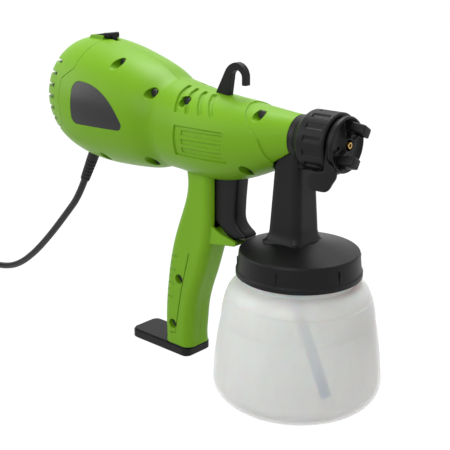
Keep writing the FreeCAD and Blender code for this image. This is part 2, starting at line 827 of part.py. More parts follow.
def shell_tools():
    """What is cut out of the housing block."""
    pivot = spray_height + pivot_above
    tools = []
    # Way of the trigger and its swing, through the underside and into the grip.
    way = new_body("trigger_way")
    slab(way, [
        (-84.5, 114.6), (-62.0, 103.6), (-40.0, 101.5), (-40.0, spray_height - 42.5),
        (-48.2, spray_height - 42.5), (-48.2, spray_height - 30), (-79.5, spray_height - 30),
        (-82.5, 152.0),
    ], trigger_room)
    tools.append(way)
    # Socket of the spray head: barrel bore and the opening for the neck.
    tools.append(rod("barrel_bore", barrel_socket_radius + press_gap, (-barrel_shoulder - 0.3, 0, spray_height),
                     barrel_shoulder + 10, (1, 0, 0)))
    tools.append(rod("stem_bore", barrel_stem_radius + press_gap, (-barrel_rear, 0, spray_height),
                     barrel_rear, (1, 0, 0)))
    neck_way = new_body("neck_way")
    prism(neck_way, "XY_Plane", lambda drawing: rounded(
        drawing, neck_x + 4, neck_way_half + 4, neck_way_half, neck_corner), spray_height - 45, spray_height)
    tools.append(neck_way)
    tools.append(rod("trigger_pin_hole", pin_radius, (-pivot_back, -trigger_pin_half, pivot),
                     trigger_pin_half * 2, (0, 1, 0)))
    tools.append(block("hook_slot", (-76.2, -hook_half_width, spray_height + 12),
                       (-64.2, hook_half_width, spray_height + 30)))
    tools.append(block("foot_opening", (-foot_neck[0], -foot_neck[2], foot_thickness - 1),
                       (-foot_neck[1], foot_neck[2], foot_thickness + shell_wall + 1)))
    tools.append(rod("relief_hole", relief_radius, relief_root(-14), 17.0, relief_way))
    tools.append(block("latch_slot", (-189.4, -2.6, spray_height + 45), (-181.2, 2.6, spray_height + 60)))
    tools.append(block("latch_room", (-194, -6, spray_height + 44), (-178.5, 6, spray_height + 49.4)))
    return tools


# Opening in the grip's base for the foot's neck: rear, front and half width.
foot_neck = (117.0, 105.0, 5.0)
relief_lean = math.atan2(17.2, 30.5)
relief_way = (-math.sin(relief_lean), 0, -math.cos(relief_lean))


def relief_root(distance):
    """The point on the strain relief's axis at a distance outside its root."""
    return (-relief_back + relief_way[0] * distance, 0, relief_height + relief_way[2] * distance)


trigger_pin_half = given("trigger_pin_half", 12.0)

# Screw places on the near shell: distance behind the origin, height, and the depth of the head's seat.
screw_places = [
    (155.9, spray_height + 37.6, 17.0), (119.7, spray_height + 19.4, 20.0), (90.9, spray_height + 15.8, 15.0),
    (123.7, spray_height - 32.2, 14.0), (170.1, spray_height - 34.6, 19.0), (27.3, spray_height + 13.2, 8.0),
    (35.4, spray_height - 25.8, 8.0), (105.7, as_size(64.3), 8.5), (113.4, as_size(24.8), 8.5),
]


def screw_tools():
    tools = []
    for index, (back, height, depth) in enumerate(screw_places):
        tools.append(rod(f"screw_recess_{index + 1}", recess_radius, (-back, -70, height),
                         70 - depth, (0, 1, 0)))
        tools.append(rod(f"screw_way_{index + 1}", screw_radius + 0.3, (-back, -depth - 1, height),
                         depth + 1, (0, 1, 0)))
        tools.append(rod(f"screw_pilot_{index + 1}", screw_radius, (-back, -2, height), 10.5, (0, 1, 0)))
    return tools


def screw_bosses():
    return [
        rod(f"screw_boss_{index + 1}", boss_radius, (-back, -60, height), 120, (0, 1, 0))
        for index, (back, height, _) in enumerate(screw_places)
    ]


def make_screws():
    parts = []
    for index, (back, height, depth) in enumerate(screw_places):
        head = rod(f"screw_head_{index + 1}", screw_head_radius, (-back, -depth - 2, height), 1.95, (0, 1, 0))
        shank = rod(f"screw_shank_{index + 1}", screw_radius - 0.05, (-back, -depth - 0.5, height),
                    depth + 8, (0, 1, 0))
        parts.append(fuse(f"screw_{index + 1}", [head, shank]))
    group = doc.addObject("Part::Compound", "housing_screws")
    group.Links = parts
    group.Label = "housing_screws"
    return group


# The rear cover's zone: everything behind this stepped line, above the cord's outlet.
def cover_zone(label, margin, half_width=60.0):
    body = new_body(label)
    slab(body, [
        (-250, spray_height - 26 - margin), (-222 + margin, spray_height - 26 - margin),
        (-200 + margin, spray_height - 8), (-200 + margin, spray_height + 25 - margin),
        (-190 + margin, spray_height + 33 - margin), (-190 + margin, spray_height + 70),
        (-250, spray_height + 70),
    ], half_width)
    return body


ribs = (
    ("frame_rib", 185.0, 181.0, motor_radius + 4.2),
    ("turbine_rib", 151.0, 147.0, turbine_radius + 1.7),
    ("outlet_rib", 104.0, 101.0, outlet_radius + 0.2),
    ("barrel_rib", 34.0, 31.0, barrel_stem_radius + 0.2),
)


def rib_solids():
    """Slices across the whole width, each with a round seat for what it carries."""
    slices = []
    seats = []
    for name, near, far, seat in ribs + (
            ("spring_rib", spring_seat_back + 2.5, spring_seat_back, needle_radius + 0.6),):
        near, far = as_size(near), as_size(far)
        slices.append(block(name, (-near, -60, spray_height - 60), (-far, 60, spray_height + 60)))
        seats.append(rod(f"{name}_seat", seat, (-near - 1, 0, spray_height), near - far + 2, (1, 0, 0)))
    return cut("rib_slices", fuse("rib_blocks", slices), fuse("rib_seats", seats))


def pin_bosses():
    pivot = spray_height + pivot_above
    return cut("pin_boss_pair", rod("pin_boss_rod", 4.2, (-pivot_back, -30, pivot), 60, (0, 1, 0)),
               rod("pin_boss_gap", 9.0, (-pivot_back, -8, pivot), 16, (0, 1, 0)))


def shelf_form(label, side, gap):
    """The guard shelf below the trigger."""
    body = new_body(label)
    near, far = (gap, shelf_half_width) if side < 0 else (-shelf_half_width, -gap)
    prism(body, "XZ_Plane", lambda drawing: draw(drawing, [
        (-94, 90), (-84, 95.6, -24.0), (-72, 99.6), (-52.6, 102.2, 2.0), (-50.6, 104.2, 2.0), (-52.6, 106.0),
        (-60, 107.6, -40.0), (-73, 112.6), (-84, 118), (-94, 118),
    ]), near, far)
    return body


def label_form(label):
    """The rounded triangle of the side label, through the near wall."""
    body = new_body(label)
    prism(body, "XZ_Plane", lambda drawing: draw(drawing, [
        (-180.5, spray_height - 7.8), (-141, spray_height - 8.4, 4.2), (-136.6, spray_height - 3, 50.0),
        (-178, spray_height + 24.5, 6.5), (-185.6, spray_height + 18), (-185.6, spray_height - 2.5, 5.3),
    ]), 20.0, 60.0)
    return body


def make_label():
    """The pocket that the label sits in, as a tool, and the blank label plate."""
    gap = seam_gap * 0.5
    pocket = cut("label_pocket", label_form("label_pocket_form"),
                 bulb_form("label_floor", label_depth, -1, gap))
    plate = common("label_sheet", [label_form("label_plate_form"), bulb_form("label_face", 0.15, -1, gap)])
    node(cut("label_plate", plate, bulb_form("label_back", label_depth, -1, gap)))
    return pocket


# The raised skin of the nose ends in a slanting edge: from its top down to the underside.
skin_edge = ((-45.5, 32.0), (-41.5, 19.0), (-33.0, 9.0), (-21.5, -1.0), (-15.0, -17.0), (-14.0, -36.0))


def nose_skin(label, side, gap):
    """What the nose's raised skin adds to one shell."""
    zone = new_body(f"{label}_zone")
    edge = [(x, spray_height + rise) for x, rise in skin_edge]
    slab(zone, [(2 - waist, spray_height + 45), (2 - waist, spray_height - 45)] + edge[::-1]
         + [(skin_edge[0][0], spray_height + 45)], 60)
    return common(label, [zone, front_form(f"{label}_form", -skin_rise, side, gap)])


def strip(body, points, side, half=0.8):
    """A narrow prism across one side of the housing, along a line of the XZ plane."""
    near, far = (6.0, 60.0) if side < 0 else (-60.0, -6.0)
    ways = [Vector(far_x - x, 0, far_z - z).normalize() for (x, z), (far_x, far_z) in zip(points, points[1:])]
    ways.append(ways[-1])
    left = [(x - way.z * half, z + way.x * half) for (x, z), way in zip(points, ways)]
    right = [(x + way.z * half, z - way.x * half) for (x, z), way in zip(points, ways)]
    prism(body, "XZ_Plane", lambda drawing: draw(drawing, right + left[::-1]), near, far)


def nose_grooves(side):
    """The side panel with its three bars, and the sloping grooves on the nose's shoulder."""
    near, far = (12.0, 60.0) if side < 0 else (-60.0, -12.0)
    top = spray_height.value
    panel = new_body(f"panel_{side + 1}")
    prism(panel, "XZ_Plane", lambda drawing: draw(drawing, [
        (-90.5, top - 20.6), (-47.2, top - 21.2, 2.2), (-45.0, top - 19.0), (-46.6, top - 2.2, 2.6),
        (-49.2, top + 0.4), (-90.5, top + 1.0),
    ]), near, far)
    shallow = cut(f"panel_floor_{side + 1}", panel, front_form(f"panel_depth_{side + 1}", 0.0, side, 0.0))
    bars = new_body(f"bars_{side + 1}")
    for step in range(3):
        high = top - 2.0 - 6.2 * step
        prism(bars, "XZ_Plane", lambda drawing: draw(drawing, [
            (-84.0, high - 3.4), (-49.0, high - 3.8), (-49.0, high), (-84.0, high)]), near, far)
    shoulder = new_body(f"shoulder_{side + 1}")
    for back, lean in ((98.0, 6.0), (90.5, 8.0), (82.5, 11.0), (74.5, 13.0)):
        strip(shoulder, [(-back, top + 27), (-back + 1.0, top + 22), (lean - back, top + 9.6)], side, 1.5)
    deep = cut(f"bar_floor_{side + 1}", fuse(f"bars_and_ribs_{side + 1}", [bars, shoulder]),
               front_form(f"bar_depth_{side + 1}", 0.7, side, 0.0))
    return fuse(f"nose_grooves_{side + 1}", [shallow, deep])


def grip_grooves(side):
    """Level grooves round the back of the grip, and the line of its side panel."""
    bars = new_body(f"grip_bars_{side + 1}")
    for step in range(8):
        height = 42.0 + 5.8 * step
        reach = 10.5 if step % 2 == 1 else 6.5
        rear = 124.6 - (height - 40.0) * 0.17
        slab(bars, [(-140, height - 0.8), (reach - rear, height - 0.8), (reach - rear, height + 0.8),
                    (-140, height + 0.8)], 60)
    strip(bars, [(-94.6, 88.0), (-103.3, 56.0), (-108.5, 30.0), (-110.6, 17.5), (-117.0, 16.6)], side, 0.4)
    return cut(f"grip_grooves_{side + 1}", bars, grip_form(f"grip_groove_floor_{side + 1}", 0.8, 0.0, side, 0.0))


def make_shell(label, side, slices, bosses, tools, marks):
    gap = seam_gap * 0.5
    outer = fuse(f"{label}_outer", [
        bulb_form(f"{label}_bulb", 0.0, side, gap), front_form(f"{label}_front", 0.0, side, gap),
        grip_form(f"{label}_grip", 0.0, foot_thickness, side, gap), shelf_form(f"{label}_shelf", side, gap),
        nose_skin(f"{label}_skin", side, gap),
    ])
    hollow = fuse(f"{label}_hollow", [
        bulb_form(f"{label}_bulb_hollow", shell_wall, side, gap),
        front_form(f"{label}_front_hollow", shell_wall, side, gap),
        grip_form(f"{label}_grip_hollow", shell_wall, foot_thickness + shell_wall, side, gap),
    ])
    shell = cut(f"{label}_shell", outer, hollow)
    inside = common(f"{label}_ribs", [slices, hollow])
    posts = common(f"{label}_posts", [bosses, outer])
    worked = cut(f"{label}_worked", fuse(f"{label}_block", [shell, inside, posts]), tools)
    return cut(label, worked, fuse(f"{label}_marks", marks))


def finish():
    doc.recompute()
    broken = [item.Name for item in doc.Objects
              if "Invalid" in item.State or "Error" in item.State]
    assert not broken, f"failed objects: {broken}"
    os.makedirs("parts", exist_ok=True)
    for item in nodes:
        shape = item.Shape
        assert not shape.isNull() and shape.isValid(), f"{item.Label} is not valid"
        shape.exportStep(f"parts/{item.Label}.step")
        print(f"{item.Label}: {len(shape.Solids)} solids, {shape.Volume / 1000:.2f} cm3")


# Rear cover, its latch and the filter

def make_rear_cover():
    outer = bulb_form("cover_outer", 0.0, 0, 0.0)
    hollow = bulb_form("cover_hollow", shell_wall, 0, 0.0)
    wall = common("cover_wall", [cut("cover_dome", outer, hollow), cover_zone("cover_limits", 0.0)])
    bezel = new_body("latch_bezel")
    slab(bezel, [
        (-206.5, spray_height + 51), (-190.6, spray_height + 51), (-190.6, spray_height + 54.4, 3.0),
        (-192, spray_height + 55), (-203.5, spray_height + 55.2, 4.0), (-206.5, spray_height + 52.8),
    ], 8.4)
    slots = [
        block(f"louvre_{step + 1}", (-250, -60, spray_height - 16 + louvre_pitch * step - louvre_gap * 0.5),
              (-louvre_front, 60, spray_height - 16 + louvre_pitch * step + louvre_gap * 0.5))
        for step in range(7)
    ]
    notch = block("latch_notch", (-203.4, -6.6, spray_height + 52.6), (-180, 6.6, spray_height + 70))
    notch_deep = block("latch_stem_notch", (-203.4, -2.6, spray_height + 40), (-180, 2.6, spray_height + 70))
    node(cut("rear_cover", fuse("cover_block", [wall, bezel]), fuse("cover_cuts", slots + [notch, notch_deep])))
    foam = turned_part("filter_foam", [(-221.4, 0), (-216, 0), (-216, 39.0), (-221.4, 35.2)],
                       z=spray_height + 8.9)
    slab(foam, [(-230, -50), (-210, -50), (-210, -33.2), (-230, -33.2)], 60, cut=True)
    node(foam)


def make_latch():
    """A wedge on top that slides forward, with a stem through the shell and a plate below it."""
    body = new_body("filter_latch")
    top = spray_height + 53.4
    slab(body, [
        (-201.5, top), (-187.3, top), (-187.3, top + 2.6, 1.2), (-188.5, top + 3.8), (-191, top + 3.6),
        (-201.5, top + 1.4),
    ], 5.9)
    slab(body, [
        (-188.8, spray_height + 48), (-185.8, spray_height + 48), (-185.8, top + 1), (-188.8, top + 1),
    ], 2.2)
    slab(body, [
        (-192.5, spray_height + 45), (-184, spray_height + 45), (-184, spray_height + 48.6),
        (-192.5, spray_height + 48.6),
    ], 5.2)
    return body


# Motor, turbine and electrical parts

def make_motor():
    bearing_hub = bearing_radius + frame_wall
    hub_front = frame_front - 4.5
    frame = turned_part("motor_frame", [
        (-frame_rear - bearing_width, bearing_radius), (-frame_rear, bearing_radius),
        (-frame_rear, shaft_radius + 3),
        (frame_wall - frame_rear, shaft_radius + 3), (frame_wall - frame_rear, motor_radius),
        (-hub_front - bearing_width, motor_radius), (-hub_front - bearing_width, bearing_radius),
        (-hub_front, bearing_radius), (-hub_front, bearing_hub), (-frame_front, bearing_hub),
        (-frame_front, motor_radius + frame_wall), (-frame_rear, motor_radius + frame_wall),
        (-frame_rear, bearing_hub), (-frame_rear - bearing_width, bearing_hub),
    ], z=spray_height)
    vent = prism(frame, "YZ_Plane", lambda drawing: circle(drawing, 20.2, 0, 4.6),
                 -frame_rear - 1, -frame_front + 1, cut=True)
    around(frame, vent, 6)
    node(frame)
    for name, rear in (("bearing_rear", frame_rear + bearing_width), ("bearing_front", hub_front + bearing_width)):
        node(turned_part(name, [
            (-rear, shaft_radius + 0.05), (bearing_width - rear, shaft_radius + 0.05),
            (bearing_width - rear, bearing_radius), (-rear, bearing_radius),
        ], z=spray_height))
    node(turned_part("stator", [
        (-stator_rear, armature_radius + 0.6), (-stator_front, armature_radius + 0.6),
        (-stator_front, motor_radius), (-stator_rear, motor_radius),
    ], z=spray_height))
    windings = [
        turned_part(name, [(rear, 17), (front, 17), (front, 24), (rear, 24)], z=spray_height)
        for name, rear, front in (
            ("winding_rear", -stator_rear - 4, -stator_rear), ("winding_front", -stator_front, 3 - stator_front))
    ]
    group = doc.addObject("Part::Compound", "field_windings")
    group.Links = windings
    group.Label = "field_windings"
    node(group)
    coil_end = armature_radius - 2.6
    armature = turned_part("armature", [
        (-stator_rear - 3.6, shaft_radius), (2.2 - stator_front, shaft_radius), (2.2 - stator_front, coil_end),
        (-stator_front, coil_end), (-stator_front, armature_radius), (-stator_rear, armature_radius),
        (-stator_rear, coil_end), (-stator_rear - 3.6, coil_end),
    ], z=spray_height)
    slot = prism(armature, "YZ_Plane", lambda drawing: circle(drawing, 0, armature_radius, 1.3),
                 -stator_rear - 1, 1 - stator_front, cut=True)
    around(armature, slot, 10)
    node(armature)
    node(turned_part("commutator", [
        (-stator_rear - 12.5, shaft_radius), (-stator_rear - 4.2, shaft_radius),
        (-stator_rear - 4.2, commutator_radius), (-stator_rear - 12.5, commutator_radius),
    ], z=spray_height))
    brushes = []
    for side in (-1, 1):
        near = (commutator_radius + running_gap) * side
        far = (motor_radius + 0.3) * side
        low, high = (far, near) if side < 0 else (near, far)
        brushes.append(block(f"brush_{side + 1}", (-stator_rear - 12, low, spray_height - 3.2),
                             (-stator_rear - 5, high, spray_height + 3.2)))
    group = doc.addObject("Part::Compound", "brush_holders")
    group.Links = brushes
    group.Label = "brush_holders"
    node(group)
    mount_inner = motor_radius + frame_wall
    mount_outer = mount_inner + mount_thickness
    node(turned_part("frame_mount", [
        (-188, mount_inner), (-178, mount_inner), (-178, mount_outer + 1.8), (-180.8, mount_outer + 1.8),
        (-180.8, mount_outer), (-185.2, mount_outer), (-185.2, mount_outer + 1.8), (-188, mount_outer + 1.8),
    ], z=spray_height))


def make_turbine():
    shaft_end = impeller_front - 5.5
    node(turned_part("motor_shaft", [
        (-frame_rear - bearing_width - 1, 0), (-shaft_end, 0), (-shaft_end, shaft_radius - 1),
        (-impeller_front, shaft_radius - 1), (-impeller_front, shaft_radius),
        (-frame_rear - bearing_width - 1, shaft_radius),
    ], z=spray_height))
    disc_front = -impeller_rear + 2
    impeller = turned_part("impeller", [
        (-impeller_rear, shaft_radius), (-impeller_front, shaft_radius), (-impeller_front, 7),
        (disc_front, 9), (disc_front, impeller_radius), (-impeller_rear, impeller_radius),
    ], z=spray_height)
    blade = prism(impeller, "YZ_Plane", lambda drawing: draw(drawing, [
        (7.2, -0.6, 45.0), (impeller_radius - 1, -6.6), (impeller_radius - 0.6, -5.3, -45.0), (7.2, 0.8),
    ]), disc_front - 0.5, -impeller_front - 1.5)
    around(impeller, blade, 9)
    node(impeller)
    nut = new_body("impeller_nut")
    across = 5.2

    def hexagon(drawing):
        draw(drawing, [(across * math.cos(math.radians(60 * turn_step)),
                        across * math.sin(math.radians(60 * turn_step)))
                       for turn_step in range(6)])
        circle(drawing, 0, 0, shaft_radius - 1)

    prism(nut, "YZ_Plane", hexagon, -impeller_front, -impeller_front + 3.5)
    place(nut, 0, 0, spray_height)
    node(nut)
    inner = turbine_radius - turbine_wall
    node(turned_part("turbine_housing", [
        (-turbine_rear, 12), (turbine_wall - turbine_rear, 12), (turbine_wall - turbine_rear, inner),
        (-turbine_front - 1, inner), (-turbine_front + 15, outlet_radius - turbine_wall),
        (-outlet_end, outlet_radius - turbine_wall), (-outlet_end, outlet_radius),
        (-turbine_front + 16, outlet_radius), (-turbine_front + 0.4, turbine_radius),
        (-turbine_rear, turbine_radius),
    ], z=spray_height))
    mount_outer = turbine_radius + mount_thickness
    node(turned_part("turbine_mount", [
        (-151.2, turbine_radius), (-144, turbine_radius), (-144, mount_outer + 1.6), (-146.8, mount_outer + 1.6),
        (-146.8, mount_outer), (-151.2, mount_outer),
    ], z=spray_height))


impeller_rear = turbine_rear - turbine_wall - 0.8
impeller_front = impeller_rear - impeller_width + 0.8


def make_switch():
    front = -82
    inner_half = grip_half_width - shell_wall
    case = block("switch_case", (-95, -8.8, plunger_height - 10), (front, 8.8, plunger_height + 10))
    lugs = block("switch_lugs", (-91, -inner_half, plunger_height - 6), (-85, inner_half, plunger_height + 6))
    bore = rod("switch_bore", plunger_radius + 0.3, (-93.6, 0, plunger_height), 20, (1, 0, 0))
    node(cut("power_switch", fuse("switch_block", [case, lugs]), bore))
    node(turned_part("switch_plunger", [
        (-86, 0), (-73.4, 0, 3.6), (-75.6, plunger_radius), (-86, plunger_radius),
    ], z=plunger_height))
    node(block("capacitor", (-98, -inner_half, 92.5), (-87.5, 3, 109)))


def make_fittings():
    pivot = spray_height + pivot_above
    node(rod("trigger_pin", pin_radius, (-pivot_back, -trigger_pin_half, pivot), trigger_pin_half * 2, (0, 1, 0)))
    hook = new_body("hanging_hook")
    slab(hook, [
        (-76.2, spray_height + 15.5), (-64.2, spray_height + 15.5), (-64.2, spray_height + 22),
        (-62.2, spray_height + 34.7, -5.2), (-57, spray_height + 39.9, -5.2), (-51.8, spray_height + 34.7),
        (-51.8, spray_height + 29.6), (-48.5, spray_height + 29.6), (-48.5, spray_height + 35.4, 10.0),
        (-58.5, spray_height + 45, 13.0), (-67.5, spray_height + 38.5), (-76.2, spray_height + 22.5),
    ], hook_half_width)
    slab(hook, [
        (-75.9, spray_height + 14.6), (-62.6, spray_height + 14.6), (-62.6, spray_height + 17.1),
        (-75.9, spray_height + 17.1),
    ], 5.5)
    node(hook)
    foot = new_body("grip_foot")
    middle = (foot_front + foot_rear) * -0.5
    half = (foot_rear - foot_front) * 0.5

    def outline(inset):
        return lambda drawing: rounded(drawing, middle, half - inset, foot_half_width - inset, 6.0 - inset)

    prism(foot, "XY_Plane", outline(0.8), 0.0, 0.8)
    prism(foot, "XY_Plane", outline(0.0), 0.8, foot_thickness - 1.3)
    prism(foot, "XY_Plane", outline(1.0), foot_thickness - 1.3, foot_thickness)
    rear, front, half_width = foot_neck
    base = foot_thickness + shell_wall
    prism(foot, "XY_Plane", lambda drawing: draw(drawing, [
        (-rear, -half_width), (-front, -half_width), (-front, half_width), (-rear, half_width),
    ]), foot_thickness - 1, base)
    prism(foot, "XY_Plane", lambda drawing: draw(drawing, [
        (-rear - 2.5, -half_width - 2.5), (2.5 - front, -half_width - 2.5), (2.5 - front, half_width + 2.5),
        (-rear - 2.5, half_width + 2.5),
    ]), base, base + 2.4)
    node(foot)


# Mains cord, its coil and plug

def make_relief():
    flange = -6.9
    body = new_body("strain_relief")
    turn(body, [
        (0, flange - 2), (relief_radius + 1.8, flange - 2), (relief_radius + 1.8, flange),
        (relief_radius, flange), (relief_radius, relief_length - 8), (relief_radius - 0.5, relief_length),
        (0, relief_length),
    ], "V_Axis")
    root = relief_root(0)
    place(body, root[0], 0, root[2], Rotation(Vector(0, 0, 1), Vector(*relief_way)))
    return body


coil_floor = cord_radius + tie_thickness + 0.2
coil_back = 433.0
coil_side = -33.0
coil_tail = 30.0
coil_outer_radius = coil_inner_radius + coil_pitch * 1.5


def cord_points():
    """The free run of the cord: off the strain relief, down to the floor and back to the coil."""
    leave = [as_size(number).value for number in relief_root(relief_length.value)]
    start = Vector(leave[0], leave[1], leave[2])
    low = coil_floor.value
    side = coil_side + coil_outer_radius.value
    return [
        start, start + Vector(*relief_way) * 20, Vector(-258.5, 0, 84.5), Vector(-283.5, 0.3, 59.5),
        Vector(-313, 1, 33.5), Vector(-344, 2.2, 13.5), Vector(-376, 3.4, low + 0.6),
        Vector(24 - coil_back, side, low), Vector(-coil_back, side, low),
    ]


def make_cord():
    points = cord_points()
    edges, radii = routed(points)
    solid = tube(edges, cord_radius.value)
    length = sum(edge.Length for edge in edges)
    section = math.pi * cord_radius.value ** 2
    print("cord bend radii", [round(radius, 1) for radius in radii])
    print("cord volume over section times length", round(solid.Volume / (section * length), 4))
    node(shaped("cord", solid))
    return length


def coil_spots():
    """Spots of the coil as half turns gone, radius, height and slope: four layers that spiral in
    and out with a climb at each reversal, and a loose last turn outside, down to the plug."""
    pitch = coil_pitch.value
    radius = coil_outer_radius.value
    height = coil_floor.value
    gone = 0
    spots = [(gone, radius, height, 0)]
    for layer, halves in enumerate((3, 3, 3, 2)):
        inward = -1 if layer % 2 == 0 else 1
        for _ in range(halves):
            gone += 1
            radius += inward * pitch / 2
            spots.append((gone, radius, height, 0))
        if layer < 3:
            middle = radius + inward * pitch / 4
            slope = 1.5 * pitch / (math.pi * middle)
            spots.append((gone + 0.5, middle, height + pitch / 2, slope))
            gone += 1
            height += pitch
            spots.append((gone, radius, height, 0))
    loose = coil_outer_radius.value + pitch
    spots[-1] = (gone, loose, height, 0)
    spots.append((gone + 1, loose, plug_half_height.value + 0.1, 0))
    return spots


def make_coil():
    centre = Vector(-coil_back, coil_side, 0)
    path = []
    for gone, radius, height, slope in coil_spots():
        angle = math.pi / 2 + math.pi * gone
        spot = centre + Vector(radius * math.cos(angle), radius * math.sin(angle), height)
        path.append((spot, Vector(-math.sin(angle), math.cos(angle), slope).normalize()))
    edges = []
    for (spot, heading), (following, its_heading) in zip(path, path[1:]):
        edges += biarc(spot, heading, following, its_heading)
    last, heading = path[-1]
    end = last + heading * coil_tail
    edges.append(Part.LineSegment(last, end).toShape())
    spaced = []
    for edge in edges:
        spaced += edge.discretize(Distance=2.0)[:-1]
    skip = 20
    least = min((one - other).Length for index, one in enumerate(spaced) for other in spaced[index + skip:])
    print("coil least gap to itself", round(least - 2 * cord_radius.value, 2))
    node(shaped("cord_coil", tube(edges, cord_radius.value)))
    return sum(edge.Length for edge in edges), end


def make_plug(end):
    """A flat two-pin plug that lies on the floor at the end of the coil."""
    body = new_body("plug_body")
    stations = [
        (0.0, cord_radius + 1.6, cord_radius + 1.6, 3.0), (10.0, cord_radius + 3, cord_radius + 2, 3.0),
        (20.0, plug_half_width - 1.5, plug_half_height - 0.4, 4.0),
        (plug_length, plug_half_width, plug_half_height, 4.0),
    ]
    for (near, near_width, near_height, near_corner), (far, far_width, far_height, far_corner) in zip(
            stations, stations[1:]):
        first = sketch(body, "YZ_Plane", near)
        rounded(first, as_size(0), near_width, near_height, near_corner)
        second = sketch(body, "YZ_Plane", far)
        rounded(second, as_size(0), far_width, far_height, far_corner)
        loft(body, [first, second])
    place(body, end.x, end.y, end.z)
    node(body)
    parts = [
        rod(f"plug_pin_{side + 1}", plug_pin_radius,
            (end.x + plug_length, end.y + plug_pin_spacing * 0.5 * side, end.z),
            19, (1, 0, 0))
        for side in (-1, 1)
    ]
    group = doc.addObject("Part::Compound", "plug_pins")
    group.Links = parts
    group.Label = "plug_pins"
    node(group)


def make_tie():
    """A flat strap round the turns of the coil, on the side that the gun is on."""
    inner_low = coil_floor - cord_radius - 0.1
    inner_high = coil_floor + coil_pitch * 3 + cord_radius + 0.1
    near = coil_inner_radius - coil_pitch * 0.25 - cord_radius - 0.2 - coil_back
    far = coil_outer_radius + coil_pitch * 0.25 + cord_radius + 0.2 - coil_back
    centre_x, centre_z = (near + far) * 0.5, (inner_low + inner_high) * 0.5
    half_x, half_z = (far - near) * 0.5, (inner_high - inner_low) * 0.5
    body = new_body("cord_tie")

    def band(drawing):
        rounded(drawing, centre_x, half_x + tie_thickness, half_z + tie_thickness, 2.8, centre_z)
        rounded(drawing, centre_x, half_x, half_z, 2.0, centre_z)

    prism(body, "XZ_Plane", band, -coil_side - 3.5, -coil_side + 3.5)
    return body


node(make_cup())
node(make_spray_head())
make_head_fittings()
make_needle()
spring_end = make_needle_spring()
spring_seat_back = as_size(-spring_end)
node(make_union_nut())
node(make_air_cap())
node(make_pattern_lever())
node(make_dip_tube())
node(make_trigger())
make_motor()
make_turbine()
make_switch()
make_fittings()
slices = rib_solids()
bosses = fuse("boss_rods", screw_bosses() + [pin_bosses()])
tools = shell_tools() + screw_tools() + [cover_zone("cover_cut", cover_gap)]
label_pocket = make_label()
ways = fuse("housing_ways", tools)
near_marks = [label_pocket, nose_grooves(-1), grip_grooves(-1)]
node(make_shell("housing_left", -1, slices, bosses, ways, near_marks))
node(make_shell("housing_right", 1, slices, bosses, ways, [nose_grooves(1), grip_grooves(1)]))
make_rear_cover()
node(make_latch())
node(make_screws())
node(make_relief())
run_length = make_cord()
coil_length, coil_end = make_coil()
make_plug(coil_end)
node(make_tie())
print("cord length", round(run_length + coil_length, 1))
finish()
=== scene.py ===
# Looks of a handheld electric paint sprayer, built round its CAD model.
# Metres, in the frame of the CAD: +X is the spray direction, +Z is up, the origin is under the cup.
import math
import bmesh
import bpy
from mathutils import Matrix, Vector


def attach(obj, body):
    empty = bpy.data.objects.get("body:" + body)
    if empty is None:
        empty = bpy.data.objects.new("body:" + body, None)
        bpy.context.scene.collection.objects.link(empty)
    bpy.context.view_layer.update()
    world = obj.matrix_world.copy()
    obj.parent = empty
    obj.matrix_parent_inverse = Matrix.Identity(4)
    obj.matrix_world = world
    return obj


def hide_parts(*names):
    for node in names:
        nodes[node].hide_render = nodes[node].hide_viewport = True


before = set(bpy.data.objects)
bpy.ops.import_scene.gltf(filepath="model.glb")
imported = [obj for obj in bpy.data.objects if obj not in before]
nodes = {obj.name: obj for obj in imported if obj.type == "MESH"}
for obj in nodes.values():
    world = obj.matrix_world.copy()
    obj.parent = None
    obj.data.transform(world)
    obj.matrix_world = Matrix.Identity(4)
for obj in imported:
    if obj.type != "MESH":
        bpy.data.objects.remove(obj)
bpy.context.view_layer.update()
MM = 0.001


# Camera and lamps

def look_from(azimuth, elevation):
    """The unit vector from the object to an eye at these angles, in degrees."""
    turn, rise = math.radians(azimuth), math.radians(elevation)
    flat = math.cos(rise)
    return Vector((math.sin(turn) * flat, -math.cos(turn) * flat, math.sin(rise)))


def make_camera():
    """The photograph's view: from the front, on the label's side, and a little above."""
    data = bpy.data.cameras.new("camera")
    data.lens = 72
    data.sensor_width = 36
    data.clip_start = 0.01
    camera = bpy.data.objects.new("camera", data)
    bpy.context.scene.collection.objects.link(camera)
    camera.location = (0.3579, -0.4750, 0.3143)
    camera.rotation_mode = "QUATERNION"
    camera.rotation_quaternion = (-look_from(azimuth=42, elevation=17.5)).to_track_quat("-Z", "Y")
    bpy.context.scene.camera = camera


def make_lamp(name, spot, target, size, power):
    """A round soft lamp, its size in metres and its power in watts."""
    data = bpy.data.lights.new(name, "AREA")
    data.shape = "DISK"
    data.size = size
    data.energy = power
    lamp = bpy.data.objects.new(name, data)
    bpy.context.scene.collection.objects.link(lamp)
    lamp.location = spot
    lamp.rotation_mode = "QUATERNION"
    lamp.rotation_quaternion = (Vector(target) - Vector(spot)).to_track_quat("-Z", "Y")


# Shader maths

class Link:
    """An output of a material's node, on which Python's operators add Math nodes."""

    def __init__(self, finish, socket):
        self.finish = finish
        self.socket = socket

    def math(self, operation, *values):
        """Add a Math node on these values."""
        return self.finish.node("ShaderNodeMath", {"operation": operation}, dict(enumerate(values)))

    def __add__(self, other):
        return self.math("ADD", self, other)

    def __radd__(self, other):
        return self.math("ADD", other, self)

    def __sub__(self, other):
        return self.math("SUBTRACT", self, other)

    def __rsub__(self, other):
        return self.math("SUBTRACT", other, self)

    def __mul__(self, other):
        return self.math("MULTIPLY", self, other)

    def __rmul__(self, other):
        return self.math("MULTIPLY", other, self)

    def wave(self):
        """Swings between 0 and 1 as the value grows."""
        return self.math("SINE", self) * 0.5 + 0.5


